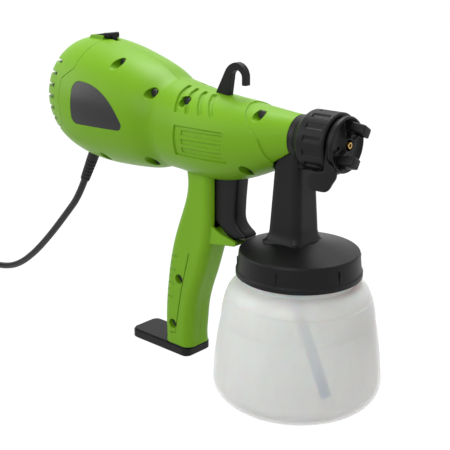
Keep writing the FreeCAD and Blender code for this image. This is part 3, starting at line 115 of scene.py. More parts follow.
class Finish:
    """A material and its Principled shader."""

    def __init__(self, name, **plain):
        self.material = bpy.data.materials.new(name)
        self.material.use_nodes = True
        self.tree = self.material.node_tree
        self.shader = self.tree.nodes["Principled BSDF"]
        self.output = self.tree.nodes["Material Output"]
        for socket, value in plain.items():
            self.shader.inputs[socket.replace("_", " ")].default_value = value

    def node(self, kind, settings=None, values=None, output=0):
        """Add a node, set it up, then give its sockets their values or links."""
        made = self.tree.nodes.new(kind)
        for name, value in (settings or {}).items():
            setattr(made, name, value)
        for name, value in (values or {}).items():
            if isinstance(value, Link):
                self.tree.links.new(value.socket, made.inputs[name])
            else:
                made.inputs[name].default_value = value
        return Link(self, made.outputs[output])

    def feed(self, socket, link):
        """Link a value or colour to a socket of the shader."""
        self.tree.links.new(link.socket, self.shader.inputs[socket])

    def place(self):
        """The point of the surface, in metres in the frame of the CAD."""
        return self.node("ShaderNodeTexCoord", output="Object")

    def noise(self, scale, detail, roughness=0.5, stretch=None):
        """Cloudy values between 0 and 1, longer along the axes whose stretch is small."""
        where = self.place()
        if stretch:
            where = self.node("ShaderNodeMapping", values={"Vector": where, "Scale": stretch})
        return self.node("ShaderNodeTexNoise", values={
            "Vector": where, "Scale": scale, "Detail": detail, "Roughness": roughness})

    def ramp(self, value, low, high):
        """0 where the value is under low and 1 where it is over high."""
        return self.node("ShaderNodeMapRange", {"interpolation_type": "SMOOTHSTEP"}, {
            "Value": value, "From Min": low, "From Max": high})

    def mix(self, share, one, other):
        """The one colour where the share is 0 and the other where it is 1."""
        sockets = {0: share, 6: one, 7: other}      # 6 and 7 are the Mix node's two colours
        return self.node("ShaderNodeMix", {"data_type": "RGBA"}, sockets, output=2)

    def along(self, axis):
        """One coordinate of the point of the surface."""
        return self.node("ShaderNodeSeparateXYZ", values={"Vector": self.place()}, output=axis)

    def soft_edges(self, radius):
        """The surface's direction as if its edges were rounded, and a mask of those edges."""
        least, most = 0.015, 0.16
        soft = self.node("ShaderNodeBevel", {"samples": 6}, {"Radius": radius})
        flat = self.node("ShaderNodeNewGeometry", output="Normal")
        agree = self.node("ShaderNodeVectorMath", {"operation": "DOT_PRODUCT"}, {0: soft, 1: flat},
                          output="Value")
        return soft, self.ramp(1 - agree, least, most)

    def bump(self, height, depth, strength, under=None):
        """The surface's direction over a relief, which may lie over another one."""
        values = {"Height": height, "Distance": depth, "Strength": strength}
        if under:
            values["Normal"] = under
        return self.node("ShaderNodeBump", values=values)


def shade(color, share):
    """A colour made lighter or darker."""
    return tuple(min(1.0, channel * share) for channel in color[:3]) + (1.0,)


def moulded(name, color, roughness, grain, grain_depth, wear, edge=0.0006, **plain):
    """Injection-moulded plastic: fine grain, flow marks, faint scuffs and edges rubbed lighter."""
    finish = Finish(name, **plain)
    soft, edges = finish.soft_edges(edge)
    flow = finish.noise(26, 3)
    body = finish.mix(flow, shade(color, 0.94), shade(color, 1.06))
    scuffs = finish.ramp(finish.noise(420, 4, 0.7, stretch=(1, 1, 0.12)), 0.66, 0.78)
    rubbed = edges * finish.ramp(finish.noise(140, 3), 0.42, 0.62)
    marks = scuffs * (wear / 2) + rubbed * wear
    finish.feed("Base Color", finish.mix(marks, body, shade(color, 1.9)))
    patches = finish.noise(55, 4)
    finish.feed("Roughness", patches * 0.12 + (roughness - 0.06) + scuffs * 0.12)
    grains = finish.noise(grain, 2)
    ripple = finish.bump(patches, 0.00008, 0.25, soft)
    finish.feed("Normal", finish.bump(grains, grain_depth, 0.5, ripple))
    return finish.material


def milky_plastic():
    """Blow-moulded cup: cloudy, clearer near the bottom, what is inside shows faintly, and a faint
    painted glow lifts it evenly.
    """
    # The line at the edge of the shoulder: its height, and half the width of its shine and of its step
    crease, line, step = 0.0772, 0.0012, 0.0010
    # Emission_Strength gives the whole cup a faint painted glow, standing in for light that scatters
    # through its wall.
    finish = Finish("milky_plastic", IOR=1.48, Subsurface_Weight=0.5, Subsurface_Scale=0.008,
                    Specular_IOR_Level=0.45, Emission_Strength=0.05)
    up = finish.along("Z")
    clouds = finish.noise(38, 4)
    finish.feed("Base Color", finish.mix(clouds, (0.940, 0.900, 0.880, 1), (0.960, 0.925, 0.905, 1)))
    height = finish.ramp(up, 0.004, 0.070)
    streaks = finish.noise(90, 3, 0.6, stretch=(1, 1, 0.25))
    finish.feed("Alpha", height * 0.27 + 0.34 + streaks * 0.06)
    orange_peel = finish.noise(160, 3)
    skin = finish.bump(orange_peel, 0.0002, 0.35)
    ring = finish.ramp(up, crease - line, crease) - finish.ramp(up, crease, crease + line)
    finish.feed("Roughness", clouds * 0.16 + 0.24 - ring * 0.12)
    below = 1 - finish.ramp(up, crease - step, crease + step)
    finish.feed("Normal", finish.bump(below, 0.0011, 0.9, skin))
    return finish.material


def clear_tube():
    """Tinted clear tube, drawn lengthways."""
    finish = Finish("clear_tube", IOR=1.46)
    draw_lines = finish.noise(900, 2, stretch=(1, 1, 0.02))
    finish.feed("Base Color", finish.mix(draw_lines, (0.22, 0.48, 0.95, 1), (0.32, 0.58, 1.0, 1)))
    finish.feed("Alpha", draw_lines * 0.15 + 0.7)
    finish.feed("Roughness", draw_lines * 0.2 + 0.15)
    finish.feed("Normal", finish.bump(draw_lines, 0.00005, 0.4))
    return finish.material


def turned_metal(name, color, roughness, stain=0.15):
    """Metal turned about the spray axis: fine rings and a slight stain."""
    finish = Finish(name, Metallic=1.0)
    soft, edges = finish.soft_edges(0.0003)
    rings = finish.noise(5200, 2, 0.6, stretch=(1, 0.01, 0.01))
    spots = finish.ramp(finish.noise(240, 4), 0.5, 0.75) * stain
    clean = finish.mix(edges, color + (1,), shade(color, 1.25))
    finish.feed("Base Color", finish.mix(spots, clean, shade(color, 0.55)))
    finish.feed("Roughness", rings * 0.2 + (roughness - 0.1) + spots * 0.4)
    finish.feed("Normal", finish.bump(rings, 0.00003, 0.5, soft))
    return finish.material


def wound_wire():
    """Enamelled wire: turns lying side by side along the stator, coloured dark between them as painted
    shade.
    """
    finish = Finish("wound_wire", Metallic=0.75)
    turn_ridges_and_shade = (finish.along("Y") * 7800 + finish.noise(60, 2) * 3.0).wave()
    # The dark colour is painted shade in the grooves between the turns. The wave also sets roughness
    # and the bump of the turns.
    finish.feed("Base Color", finish.mix(turn_ridges_and_shade, (0.26, 0.085, 0.03, 1), (0.72, 0.30, 0.13, 1)))
    finish.feed("Roughness", turn_ridges_and_shade * -0.2 + 0.5)
    finish.feed("Normal", finish.bump(turn_ridges_and_shade, 0.0003, 0.8))
    return finish.material


def stacked_sheet():
    """Punched sheets stacked along the shaft, with varnish in the gaps."""
    finish = Finish("stacked_sheet", Metallic=0.85)
    sheets = (finish.along("X") * 12560).wave()
    dirt = finish.noise(300, 4)
    finish.feed("Base Color", finish.mix(sheets, (0.09, 0.085, 0.08, 1), (0.33, 0.33, 0.34, 1)))
    finish.feed("Roughness", dirt * 0.25 + 0.4)
    finish.feed("Normal", finish.bump(sheets, 0.00015, 0.6))
    return finish.material


def cast_metal():
    """Cast aluminium, fettled on its edges."""
    finish = Finish("cast_metal", Metallic=1.0)
    soft, edges = finish.soft_edges(0.0005)
    skin = finish.noise(900, 5, 0.6)
    finish.feed("Base Color", finish.mix(edges, (0.56, 0.57, 0.59, 1), (0.80, 0.81, 0.83, 1)))
    finish.feed("Roughness", skin * 0.25 + 0.35)
    finish.feed("Normal", finish.bump(skin, 0.00012, 0.5, soft))
    return finish.material


def blackened_screw():
    """Blackened steel, worn to bare metal on its edges and where the driver sits."""
    finish = Finish("blackened_screw")
    soft, edges = finish.soft_edges(0.0003)
    worn = edges * finish.ramp(finish.noise(900, 3), 0.4, 0.65)
    finish.feed("Base Color", finish.mix(worn, (0.028, 0.028, 0.030, 1), (0.35, 0.35, 0.36, 1)))
    finish.feed("Metallic", worn * 0.7 + 0.3)
    finish.feed("Roughness", worn * -0.15 + 0.5)
    finish.feed("Normal", finish.bump(finish.noise(2600, 2), 0.00003, 0.4, soft))
    return finish.material


def rubber(name, color, roughness):
    """Moulded rubber or soft cable sheath: dull, with a fine skin and some dust."""
    finish = Finish(name, Specular_IOR_Level=0.3, IOR=1.5)
    dust = finish.ramp(finish.noise(210, 5, 0.65), 0.56, 0.80)
    body = finish.mix(finish.noise(30, 2), shade(color, 0.85), shade(color, 1.15))
    finish.feed("Base Color", finish.mix(dust * 0.22, body, (0.10, 0.10, 0.10, 1)))
    skin = finish.noise(1900, 3)
    finish.feed("Roughness", skin * 0.14 + (roughness - 0.07) + dust * 0.1)
    finish.feed("Normal", finish.bump(skin, 0.00005, 0.45))
    return finish.material


def open_foam():
    """Filter foam: open cells whose mouths are painted dark, as shade in the hollows."""
    finish = Finish("open_foam", Specular_IOR_Level=0.15)
    cells = finish.node("ShaderNodeTexVoronoi", values={"Vector": finish.place(), "Scale": 620},
                        output="Distance")
    shaded_mouths = finish.ramp(cells, 0.15, 0.75)
    # Painted shade: the colour goes darker in each cell's mouth, where the hollow lies in shadow.
    finish.feed("Base Color", finish.mix(shaded_mouths, (0.006, 0.006, 0.006, 1), (0.060, 0.060, 0.064, 1)))
    finish.feed("Roughness", shaded_mouths * 0.1 + 0.85)
    finish.feed("Normal", finish.bump(cells, 0.0009, 1.0))
    return finish.material


def blank_film():
    """Bare label film: smoother than the housing, with a faint weave of the press and small dents."""
    finish = Finish("blank_film", Specular_IOR_Level=0.4)
    press = finish.noise(1400, 2, stretch=(1, 0.2, 1))
    dents = finish.noise(120, 3)
    finish.feed("Base Color", finish.mix(press, (0.010, 0.010, 0.011, 1), (0.017, 0.017, 0.018, 1)))
    finish.feed("Roughness", dents * 0.16 + 0.26)
    weave = finish.bump(press, 0.00002, 0.4)
    finish.feed("Normal", finish.bump(dents, 0.00012, 0.4, weave))
    return finish.material


make_camera()

GREEN = (0.196, 0.440, 0.010)
BLACK = (0.0055, 0.0055, 0.0058)
DARK_GREY = (0.055, 0.055, 0.060)
OCHRE = (0.52, 0.38, 0.05)
green_plastic = moulded(
    "green_plastic", GREEN, roughness=0.40, grain=2400, grain_depth=0.00004, wear=0.08, edge=0.0008,
    IOR=1.49, Specular_IOR_Level=0.24)
black_plastic = moulded(
    "black_plastic", BLACK, roughness=0.42, grain=2200, grain_depth=0.00005, wear=0.6,
    IOR=1.49, Specular_IOR_Level=0.20)
inner_plastic = moulded(
    "inner_plastic", DARK_GREY, roughness=0.55, grain=1800, grain_depth=0.00004, wear=0.2,
    Specular_IOR_Level=0.3)
box_plastic = moulded(
    "box_plastic", OCHRE, roughness=0.45, grain=1500, grain_depth=0.00004, wear=0.2)
cord_sheath = rubber("cord_sheath", (0.016, 0.016, 0.017), roughness=0.48)
dark_rubber = rubber("dark_rubber", (0.020, 0.020, 0.021), roughness=0.66)
turned_brass = turned_metal("turned_brass", (0.62, 0.40, 0.13), roughness=0.34)
turned_copper = turned_metal("turned_copper", (0.70, 0.30, 0.14), roughness=0.40)
ground_steel = turned_metal("ground_steel", (0.56, 0.57, 0.59), roughness=0.30, stain=0.08)

finishes = {
    green_plastic: ["housing_left", "housing_right", "rear_cover"],
    black_plastic: [
        "spray_head", "union_nut", "hanging_hook", "grip_foot", "filter_latch", "plug_body"],
    milky_plastic(): ["paint_cup"],
    clear_tube(): ["dip_tube"],
    turned_brass: ["fluid_nozzle", "needle_gland", "brush_holders"],
    turned_copper: ["commutator"],
    ground_steel: [
        "needle", "needle_collar", "needle_spring", "trigger_pin", "motor_shaft", "bearing_rear",
        "bearing_front", "impeller_nut", "plug_pins"],
    wound_wire(): ["field_windings"],
    stacked_sheet(): ["stator", "armature"],
    cast_metal(): ["impeller"],
    blackened_screw(): ["housing_screws"],
    dark_rubber: ["cup_gasket", "frame_mount", "turbine_mount"],
    inner_plastic: ["motor_frame", "turbine_housing", "power_switch", "switch_plunger"],
    open_foam(): ["filter_foam"],
    blank_film(): ["label_plate"],
    box_plastic: ["capacitor"],
}
for material, names in finishes.items():
    for name in names:
        for slot in nodes[name].material_slots:
            slot.material = material


# Cord: the route of the CAD's tube, then the coil, down to the plug

CORD_RADIUS = 3 * MM

# In millimetres
ROUTE = [
    (-231.2, 0, 120.0), (-241.0, 0, 102.6), (-258.5, 0, 84.5), (-283.5, 0.3, 59.5), (-313, 1, 33.5),
    (-344, 2.2, 13.5), (-376, 3.4, 4.6), (-409, 3.95, 4.0), (-433, 3.95, 4.0),
]
COIL_X, COIL_Y = -433, -33
COIL_OUTER = 36.95
COIL_PITCH = 6.7
COIL_FLOOR = 4.0
COIL_LAYERS = (3, 3, 3, 1)                       # half turns in each
LAYER_STEPS = len(COIL_LAYERS) - 1               # each a half turn that climbs one pitch
COIL_HALVES = sum(COIL_LAYERS) + LAYER_STEPS     # half turns before the loose last turn
COIL_TOP = COIL_FLOOR + LAYER_STEPS * COIL_PITCH
PLUG_HEIGHT = 7.1
PLUG_START = (-403, -76.65, PLUG_HEIGHT)

POINTS = 8                                       # on each half turn
SHARES = [point / POINTS for point in range(1, POINTS + 1)]


def coil_point(half_turns, radius, height):
    """A point of the coil, counted from where the route ends."""
    angle = math.pi * (0.5 + half_turns)
    middle = Vector((COIL_X, COIL_Y, 0)) * MM
    return middle + Vector((radius * math.cos(angle), radius * math.sin(angle), height)) * MM


def coil_points():
    """Layers that wind in and out by turns, each a pitch higher than the one before."""
    points = []
    gone, radius, height = 0.0, COIL_OUTER, COIL_FLOOR
    for layer, halves in enumerate(COIL_LAYERS):
        way = -1 if layer % 2 == 0 else 1
        for _ in range(halves * POINTS):
            gone += 1 / POINTS
            radius += way * COIL_PITCH / 2 / POINTS
            points.append(coil_point(gone, radius, height))
        if layer < LAYER_STEPS:
            for share in SHARES:
                gone += 1 / POINTS
                swing = way * COIL_PITCH / 4 * math.sin(math.pi * share)
                points.append(coil_point(gone, radius + swing, height + COIL_PITCH * share))
            height += COIL_PITCH
    return points


def make_cord():
    """One spline: the route, the coil, and a loose last turn that opens out and sinks to the plug."""
    points = [Vector(point) * MM for point in ROUTE] + coil_points()
    for share in SHARES:
        radius = COIL_OUTER - COIL_PITCH / 2 + COIL_PITCH * 1.5 * share
        points.append(coil_point(COIL_HALVES + share, radius, COIL_TOP))
    for share in SHARES:
        fall = share * share * (3 - 2 * share)
        height = COIL_TOP + (PLUG_HEIGHT - COIL_TOP) * fall
        points.append(coil_point(COIL_HALVES + 1 + share, COIL_OUTER + COIL_PITCH, height))
    points.append(Vector(PLUG_START) * MM)
    data = bpy.data.curves.new("cord", "CURVE")
    data.dimensions = "3D"
    data.bevel_depth = CORD_RADIUS
    data.bevel_resolution = 6
    data.use_fill_caps = True
    spline = data.splines.new("NURBS")
    spline.points.add(len(points) - 1)
    for spot, point in zip(spline.points, points):
        spot.co = (*point, 1)
    spline.order_u = 3
    spline.use_endpoint_u = True
    spline.resolution_u = 6
    spline.use_smooth = True
    cord = bpy.data.objects.new("mains_cord", data)
    bpy.context.scene.collection.objects.link(cord)
    return cord


def dress(piece, material):
    """Give a piece one material and no other."""
    piece.data.materials.clear()
    piece.data.materials.append(material)


cord = make_cord()
dress(cord, cord_sheath)
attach(cord, "gun")
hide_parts("cord", "cord_coil")


# Tools for modelling pieces

def alone(piece):
    """Make a piece the only selected one."""
    bpy.ops.object.select_all(action="DESELECT")
    piece.select_set(True)
    bpy.context.view_layer.objects.active = piece


def fresh(operator, **settings):
    """Add a primitive with nothing else selected."""
    bpy.ops.object.select_all(action="DESELECT")
    operator(**settings)
    return bpy.context.object


def settle(piece, name):
    """Name a piece and put its place into its mesh."""
    piece.name = name
    piece.data.name = name
    alone(piece)
    bpy.ops.object.transform_apply(location=True, rotation=True, scale=True)
    return piece


def block(name, size, middle):
    """A cube stretched to a size about its middle, in millimetres."""
    piece = fresh(bpy.ops.mesh.primitive_cube_add, size=1, scale=Vector(size) * MM,
                  location=Vector(middle) * MM)
    return settle(piece, name)


def pick_faces(piece, test):
    """In edit mode, select the faces for whose normal the test holds."""
    bpy.ops.object.mode_set(mode="EDIT")
    bpy.ops.mesh.select_mode(type="FACE")
    bpy.ops.mesh.select_all(action="DESELECT")
    mesh = bmesh.from_edit_mesh(piece.data)
    for face in mesh.faces:
        face.select_set(test(face.normal))
    bmesh.update_edit_mesh(piece.data)


def push(x, y, z):
    """Extrude what is selected, in millimetres."""
    bpy.ops.mesh.extrude_region_move(TRANSFORM_OT_translate={"value": (x * MM, y * MM, z * MM)})


def modify(piece, kind, **settings):
    """Set up a modifier and apply it."""
    alone(piece)
    modifier = piece.modifiers.new(kind.lower(), kind)
    for name, value in settings.items():
        setattr(modifier, name, value)
    bpy.ops.object.modifier_apply(modifier=modifier.name)


def soften(piece, width, segments):
    """Round the sharp edges, and shade the piece smooth between those that are left."""
    modify(piece, "BEVEL", width=width * MM, segments=segments, limit_method="ANGLE",
           angle_limit=math.radians(35))
    bpy.ops.object.shade_smooth_by_angle(angle=math.radians(40))


def cut_out(piece, tool):
    """Cut one piece with another, which is used up."""
    modify(piece, "BOOLEAN", operation="DIFFERENCE", object=tool)
    bpy.data.objects.remove(tool)


def drill(piece, middle, radius, depth, rotation, sides):
    """Bore a round hole with a cylinder that is turned from upright, in millimetres."""
    bore = fresh(bpy.ops.mesh.primitive_cylinder_add, vertices=sides, radius=radius * MM,
                 depth=depth * MM, location=Vector(middle) * MM, rotation=rotation)
    cut_out(piece, bore)


def seal(gap, angle):
    """Close the seams of the active piece, point its faces outwards and shade it smooth."""
    bpy.ops.object.mode_set(mode="EDIT")
    bpy.ops.mesh.select_all(action="SELECT")
    bpy.ops.mesh.remove_doubles(threshold=gap)
    bpy.ops.mesh.normals_make_consistent(inside=False)
    bpy.ops.object.mode_set(mode="OBJECT")
    bpy.ops.object.shade_smooth_by_angle(angle=math.radians(angle))


def joined(name, pieces):
    """One piece out of several."""
    bpy.ops.object.select_all(action="DESELECT")
    for piece in pieces:
        piece.select_set(True)
    bpy.context.view_layer.objects.active = pieces[0]
    bpy.ops.object.join()
    pieces[0].name = name
    pieces[0].data.name = name
    return pieces[0]


def turned(name, start, way, rings, sides):
    """A round piece about an axis: a ring of edges, extruded and resized at each (distance, radius)."""
    start, way = Vector(start) * MM, Vector(way).normalized()
    first, radius = rings[0]
    piece = fresh(bpy.ops.mesh.primitive_circle_add, vertices=sides, radius=radius * MM,
                  fill_type="NOTHING", location=start + way * first * MM,
                  rotation=way.to_track_quat("Z", "Y").to_euler())
    settle(piece, name)
    bpy.ops.object.mode_set(mode="EDIT")
    bpy.ops.mesh.select_mode(type="VERT")
    bpy.ops.mesh.select_all(action="SELECT")
    for (gone, old), (reach, new) in zip(rings, rings[1:]):
        push(*(way * (reach - gone)))
        share = new / old
        bpy.ops.transform.resize(value=(share, share, share), center_override=start + way * reach * MM)
    seal(gap=0.02 * MM, angle=32)
    return piece


def flat_piece(name, outline, thickness, rounding, spot, turn):
    """A plate with a smooth closed outline and rounded rims, turned and put in its place."""
    data = bpy.data.curves.new(name, "CURVE")
    data.dimensions = "2D"
    data.fill_mode = "BOTH"
    data.extrude = (thickness / 2 - rounding) * MM
    data.bevel_depth = rounding * MM
    data.bevel_resolution = 3
    data.offset = -rounding * MM
    spline = data.splines.new("NURBS")
    spline.points.add(len(outline) - 1)
    for place, (across, high) in zip(spline.points, outline):
        place.co = (across * MM, high * MM, 0, 1)
    spline.order_u = 3
    spline.use_cyclic_u = True
    spline.resolution_u = 6
    piece = bpy.data.objects.new(name, data)
    bpy.context.scene.collection.objects.link(piece)
    alone(piece)
    bpy.ops.object.convert(target="MESH")
    piece = bpy.context.object
    piece.location = Vector(spot) * MM
    piece.rotation_euler = turn
    settle(piece, name)
    seal(gap=0.01 * MM, angle=40)
    return piece


def finished(piece, material, body, slot, *replaced):
    """Give a piece its material and its body, and hide the nodes that it stands for; the slot is not
    used.
    """
    dress(piece, material)
    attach(piece, body)
    if replaced:
        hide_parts(*replaced)


# Modelled pieces, in millimetres

POLE = 0.005                         # the radius at which a round piece ends on its axis
SPRAY_AXIS = 189.0                   # its height
HORN_TURN = math.radians(-30)
PIVOT_X, PIVOT_Z = -55.0, 201.5      # the trigger's pin
NECK_X = -5.6
LID_RADIUS = 43.6

# Turns that lay a bore along X, a bore along Y or an outline in X and Z, and an outline in Y and Z
ALONG_X = (0, math.pi / 2, 0)
UPRIGHT = (math.pi / 2, 0, 0)
UPRIGHT_ACROSS = (math.pi / 2, 0, math.pi / 2)


def make_strain_relief():
    """Sleeve where the cord leaves the housing: a flange inside, and flex grooves to its tip."""
    flange, sleeve, grooves, pitch, taper, depth = 6.6, 4.75, 6, 3.7, 0.12, 0.75
    rings = [(-8.9, POLE), (-8.9, flange), (-6.9, flange), (-6.9, sleeve), (10.0, sleeve)]
    for groove in range(grooves):
        at = 12.0 + pitch * groove
        wide = sleeve - taper * groove
        bottom = wide - depth
        rings += [(at, wide), (at + 0.35, bottom), (at + 1.25, bottom), (at + 1.6, wide - 0.05)]
    rings += [(34.4, 4.0), (35.2, 3.5), (35.3, 3.1), (35.3, POLE)]
    return turned("relief_sleeve", (-214, 0, 150.5), (-17.2, 0, -30.5), rings, sides=40)


def make_tie():
    """Strap round the turns of the coil, with its free end pressed flat on top."""
    back, front, low, high, width, wall = -411.0, -391.2, 0.9, 27.2, 7.0, 0.8
    band = block("tie_band", (front - back, width, high - low),
                 ((back + front) / 2, COIL_Y, (low + high) / 2))
    pick_faces(band, lambda normal: abs(normal.y) > 0.9)
    bpy.ops.mesh.delete(type="FACE")
    bpy.ops.object.mode_set(mode="OBJECT")
    modify(band, "BEVEL", width=3 * MM, segments=5)
    modify(band, "SOLIDIFY", thickness=wall * MM, offset=1)
    soften(band, width=0.2, segments=2)
    end = block("tie_end", (11, 6.4, 0.9), (-400.5, COIL_Y, 28.45))
    pick_faces(end, lambda normal: normal.x < -0.9)
    push(-4, 0, 0.5)
    bpy.ops.object.mode_set(mode="OBJECT")
    soften(end, width=0.3, segments=3)
    return joined("tie_strap", [band, end])


def make_horn(turn):
    """One horn of the air cap: a stub leaning in over the nozzle, its air hole in the inner face."""
    root, tip, inner, outer, width = 34.2, 47.4, 9.2, 15.4, 10.4
    lean, hole_rim, hole_depth = 1.6, 2.4, 2.4
    middle = (inner + outer) / 2
    horn = block("horn", (tip - root, width, outer - inner), ((root + tip) / 2, 0, middle))
    pick_faces(horn, lambda normal: normal.x > 0.9)
    bpy.ops.transform.resize(value=(1, 0.86, 1.1), center_override=Vector((tip, 0, middle)) * MM)
    bpy.ops.transform.translate(value=(0, 0, -lean * MM))
    pick_faces(horn, lambda normal: normal.z < -0.5)
    bpy.ops.mesh.inset(thickness=hole_rim * MM)
    push(0, 0, hole_depth)
    bpy.ops.object.mode_set(mode="OBJECT")
    soften(horn, width=1.5, segments=4)
    horn.rotation_euler = (turn, 0, 0)
    horn.location = (0, 0, SPRAY_AXIS * MM)
    return settle(horn, "horn")


def make_air_cap():
    """Dished disc with a raised rim, and in it a cone round the nozzle, ribs, jets and two horns."""
    disc = turned("cap_disc", (0, 0, SPRAY_AXIS), (1, 0, 0), [
        (24.0, 14.6), (24.0, 17.4), (29.0, 17.4), (29.0, 16.2), (33.2, 16.2), (33.2, 18.0),
        (33.5, 18.5), (34.1, 18.8), (35.7, 18.8), (36.5, 18.4), (36.9, 17.7), (36.9, 17.2),
        (36.4, 16.6), (35.4, 15.4), (34.8, 13.6), (35.0, 9.0), (36.2, 6.4), (37.5, 4.9),
        (37.8, 4.4), (37.6, 3.9), (36.0, 3.3), (32.6, 3.1), (32.6, 13.2), (28.0, 14.6), (24.0, 14.6),
    ], sides=96)
    for across, high in ((1.6, 11.5), (-8.8, -0.9), (-1.6, -11.5), (8.8, 0.9)):
        drill(disc, (35.5, across, SPRAY_AXIS + high), radius=1.0, depth=7, rotation=ALONG_X, sides=18)
    parts = [disc, make_horn(HORN_TURN), make_horn(HORN_TURN + math.pi)]
    for turn in (45, 135, 225, 315):
        rib = block("cap_rib", (2.2, 0.9, 11.2), (35.2, 0, 11.0))
        soften(rib, width=0.3, segments=2)
        rib.rotation_euler = (HORN_TURN + math.radians(turn), 0, 0)
        rib.location = (0, 0, SPRAY_AXIS * MM)
        parts.append(settle(rib, "cap_rib"))
    return joined("air_cap_shown", parts)


def make_lever():
    """Ring behind the air cap, the boot-shaped paddle that turns it, and the web between them."""
    ring = turned("lever_ring", (0, 0, SPRAY_AXIS), (1, 0, 0), [
        (31.5, 16.3), (31.5, 17.3), (31.8, 17.6), (32.9, 17.6), (33.15, 17.3), (33.15, 16.3),
        (31.5, 16.3),
    ], sides=72)
    paddle = flat_piece("lever_paddle", [
        (31.3, -1), (31.3, -8), (31.2, -13.0), (30.4, -15.2), (26.6, -15.6), (20.6, -16.8),
        (17.2, -22.2), (18.4, -27.6), (22.6, -28.9), (28.5, -29.0), (32.6, -28.8), (35.2, -26.6),
        (37.4, -22.4), (40.4, -18.2), (40.0, -13.2), (36.6, -10.4), (33.3, -8.0), (33.2, -1),
    ], thickness=2.8, rounding=0.7, spot=(0, -16.8, SPRAY_AXIS), turn=UPRIGHT)
    web = flat_piece("lever_web", [
        (-17.4, -4), (-18.2, -10), (-18.0, -17.5), (-16.6, -22.5), (-14.6, -22.0), (-9.5, -19.6),
        (-4.0, -18.6), (-2.0, -17.6), (-3.0, -16.6), (-8.5, -14.8), (-13.0, -10.8), (-16.4, -4),
    ], thickness=1.5, rounding=0.4, spot=(32.3, 0, SPRAY_AXIS), turn=UPRIGHT_ACROSS)
    return joined("pattern_lever_shown", [ring, paddle, web])


def make_trigger():
    """Trigger with a rounded finger face and a hooked toe, and its two arms up to the pin."""
    blade = flat_piece("trigger_blade", [
        (-75.6, 156.6), (-75.6, 150), (-75.4, 134), (-75.4, 121), (-73.6, 116.4), (-67.0, 111.4),
        (-60.4, 106.4), (-55.0, 104.6), (-49.4, 106.8), (-43.6, 108.6), (-44.6, 111.8), (-49.6, 114.6),
        (-54.2, 119.6), (-53.9, 130), (-52.6, 145), (-51.0, 156.6), (-63, 157.2),
    ], thickness=14.4, rounding=2.6, spot=(0, 0, 0), turn=UPRIGHT)
    cut_out(blade, block("plunger_room", (8, 7.6, 16), (-76.65, 0, 136)))
    parts = [blade]
    for side in (-5.5, 5.5):
        arm = flat_piece("trigger_arm", [
            (PIVOT_X - 4.4, 152), (PIVOT_X - 4.6, 160), (PIVOT_X - 4.3, PIVOT_Z),
            (PIVOT_X, PIVOT_Z + 4.6),
            (PIVOT_X + 4.3, PIVOT_Z), (PIVOT_X + 4.6, 160), (PIVOT_X + 4.4, 152),
        ], thickness=2.8, rounding=0.4, spot=(0, side, 0), turn=UPRIGHT)
        drill(arm, (PIVOT_X, side, PIVOT_Z), radius=2.1, depth=8, rotation=UPRIGHT, sides=32)
        parts.append(arm)
    return joined("trigger_shown", parts)


def make_neck_foot():
    """Soft flare where the square neck stands on the lid."""
    half, corner, top, height, wall = 13.3, 5.6, 124.6, 1.0, 0.5
    foot = block("neck_foot", (2 * half, 2 * half, height), (NECK_X, 0, top - height / 2))
    bpy.ops.object.mode_set(mode="EDIT")
    bpy.ops.mesh.select_mode(type="EDGE")
    bpy.ops.mesh.select_all(action="DESELECT")
    mesh = bmesh.from_edit_mesh(foot.data)
    for edge in mesh.edges:
        one, other = edge.verts
        edge.select_set(abs(one.co.z - other.co.z) > height / 2 * MM)
    bmesh.update_edit_mesh(foot.data)
    bpy.ops.mesh.bevel(offset=corner * MM, segments=8, affect="EDGES")
    bpy.ops.object.mode_set(mode="OBJECT")
    pick_faces(foot, lambda normal: normal.z < -0.9)
    rings = [(top - height, half), (122.6, 13.58), (121.4, 13.82), (120.4, 14.06), (119.2, 14.55),
             (118.2, 15.05), (117.2, 15.65), (116.3, 16.5), (115.4, 17.25), (114.4, 17.5)]
    for (gone, old), (reach, new) in zip(rings, rings[1:]):
        push(0, 0, reach - gone)
        share = new / old
        bpy.ops.transform.resize(value=(share, share, 1),
                                 center_override=Vector((NECK_X, 0, reach)) * MM)
    bpy.ops.mesh.select_all(action="SELECT")
    bpy.ops.mesh.normals_make_consistent(inside=False)
    bpy.ops.object.mode_set(mode="OBJECT")
    pick_faces(foot, lambda normal: abs(normal.z) > 0.99)
    bpy.ops.mesh.delete(type="FACE")
    bpy.ops.object.mode_set(mode="OBJECT")
    modify(foot, "SOLIDIFY", thickness=wall * MM, offset=-1)
    bpy.ops.object.shade_smooth_by_angle(angle=math.radians(50))
    return foot


def make_lid_marks():
    """Six thin upright mould marks round the skirt of the cup's lid."""
    count, first, sunk = 6, -14, 0.15
    marks = []
    for step in range(count):
        mark = block("lid_mark", (0.7, 0.9, 9.4), (LID_RADIUS - sunk, 0, 101.4))
        soften(mark, width=0.25, segments=2)
        mark.rotation_euler = (0, 0, math.radians(360 / count * step + first))
        marks.append(settle(mark, "lid_mark"))
    return joined("lid_marks", marks)


finished(make_strain_relief(), dark_rubber, "gun", "rubber", "strain_relief")
finished(make_tie(), dark_rubber, "gun", "rubber", "cord_tie")
finished(make_air_cap(), black_plastic, "air_cap", "black_plastic", "air_cap")
finished(make_lever(), black_plastic, "air_cap", "black_plastic", "pattern_lever")
finished(make_trigger(), black_plastic, "trigger", "black_plastic", "trigger")
finished(make_lid_marks(), black_plastic, "gun", "black_plastic")
finished(make_neck_foot(), black_plastic, "gun", "black_plastic")


# Floor, world and lamps

FLOOR_DROP = 0.0003       # keeps the floor clear of the faces that stand on it
FLOOR_GLOW, GLOW_SHARE = 1.12, 0.88
SKY_LIGHT = 0.30


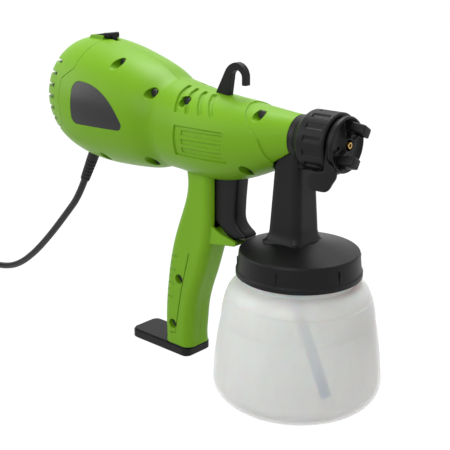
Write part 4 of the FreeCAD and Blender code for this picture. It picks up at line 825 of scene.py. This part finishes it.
def make_floor():
    """A pale sheet: white where it is seen, mirrored or seen through, yet it keeps the shadow."""
    floor = fresh(bpy.ops.mesh.primitive_plane_add, size=40, location=(0, 0, -FLOOR_DROP))
    floor.name = "floor"
    finish = Finish("floor_paper", Roughness=0.9, Base_Color=(0.55, 0.55, 0.55, 1),
                    Specular_IOR_Level=0.0)
    seen = finish.node("ShaderNodeLightPath", output="Is Camera Ray")
    mirrored = finish.node("ShaderNodeLightPath", output="Is Glossy Ray")
    through = finish.node("ShaderNodeLightPath", output="Is Transmission Ray")
    glow = finish.node("ShaderNodeEmission", values={"Color": (1, 1, 1, 1), "Strength": FLOOR_GLOW})
    plain = seen + mirrored + through
    share = plain.math("MINIMUM", plain, 1.0) * GLOW_SHARE
    paper = Link(finish, finish.shader.outputs[0])
    both = finish.node("ShaderNodeMixShader", values={0: share, 1: paper, 2: glow})
    finish.tree.links.new(both.socket, finish.output.inputs["Surface"])
    dress(floor, finish.material)


def make_world():
    """White to the camera, in reflections and through clear things, and a soft light on the rest."""
    world = bpy.data.worlds.new("studio")
    bpy.context.scene.world = world
    world.use_nodes = True
    tree = world.node_tree
    background = tree.nodes["Background"]
    background.inputs["Color"].default_value = (1, 1, 1, 1)
    path = tree.nodes.new("ShaderNodeLightPath")
    seen = path.outputs["Is Camera Ray"]
    for ray in ("Is Transmission Ray", "Is Glossy Ray"):
        either = tree.nodes.new("ShaderNodeMath")
        either.operation = "MAXIMUM"
        tree.links.new(seen, either.inputs[0])
        tree.links.new(path.outputs[ray], either.inputs[1])
        seen = either.outputs[0]
    level = tree.nodes.new("ShaderNodeMapRange")
    level.inputs["To Min"].default_value = SKY_LIGHT
    level.inputs["To Max"].default_value = 1.0
    tree.links.new(seen, level.inputs["Value"])
    tree.links.new(level.outputs[0], background.inputs["Strength"])


make_floor()
make_world()
make_lamp("key", spot=(0.25, -1.2, 1.0), target=(-0.08, 0, 0.12), size=0.9, power=7)
make_lamp("fill", spot=(-1.1, -0.8, 0.7), target=(-0.1, 0, 0.12), size=0.9, power=5)
make_lamp("top", spot=(-0.25, 0.35, 1.25), target=(-0.1, 0, 0.15), size=0.8, power=12)
bpy.context.scene.view_settings.view_transform = "Standard"
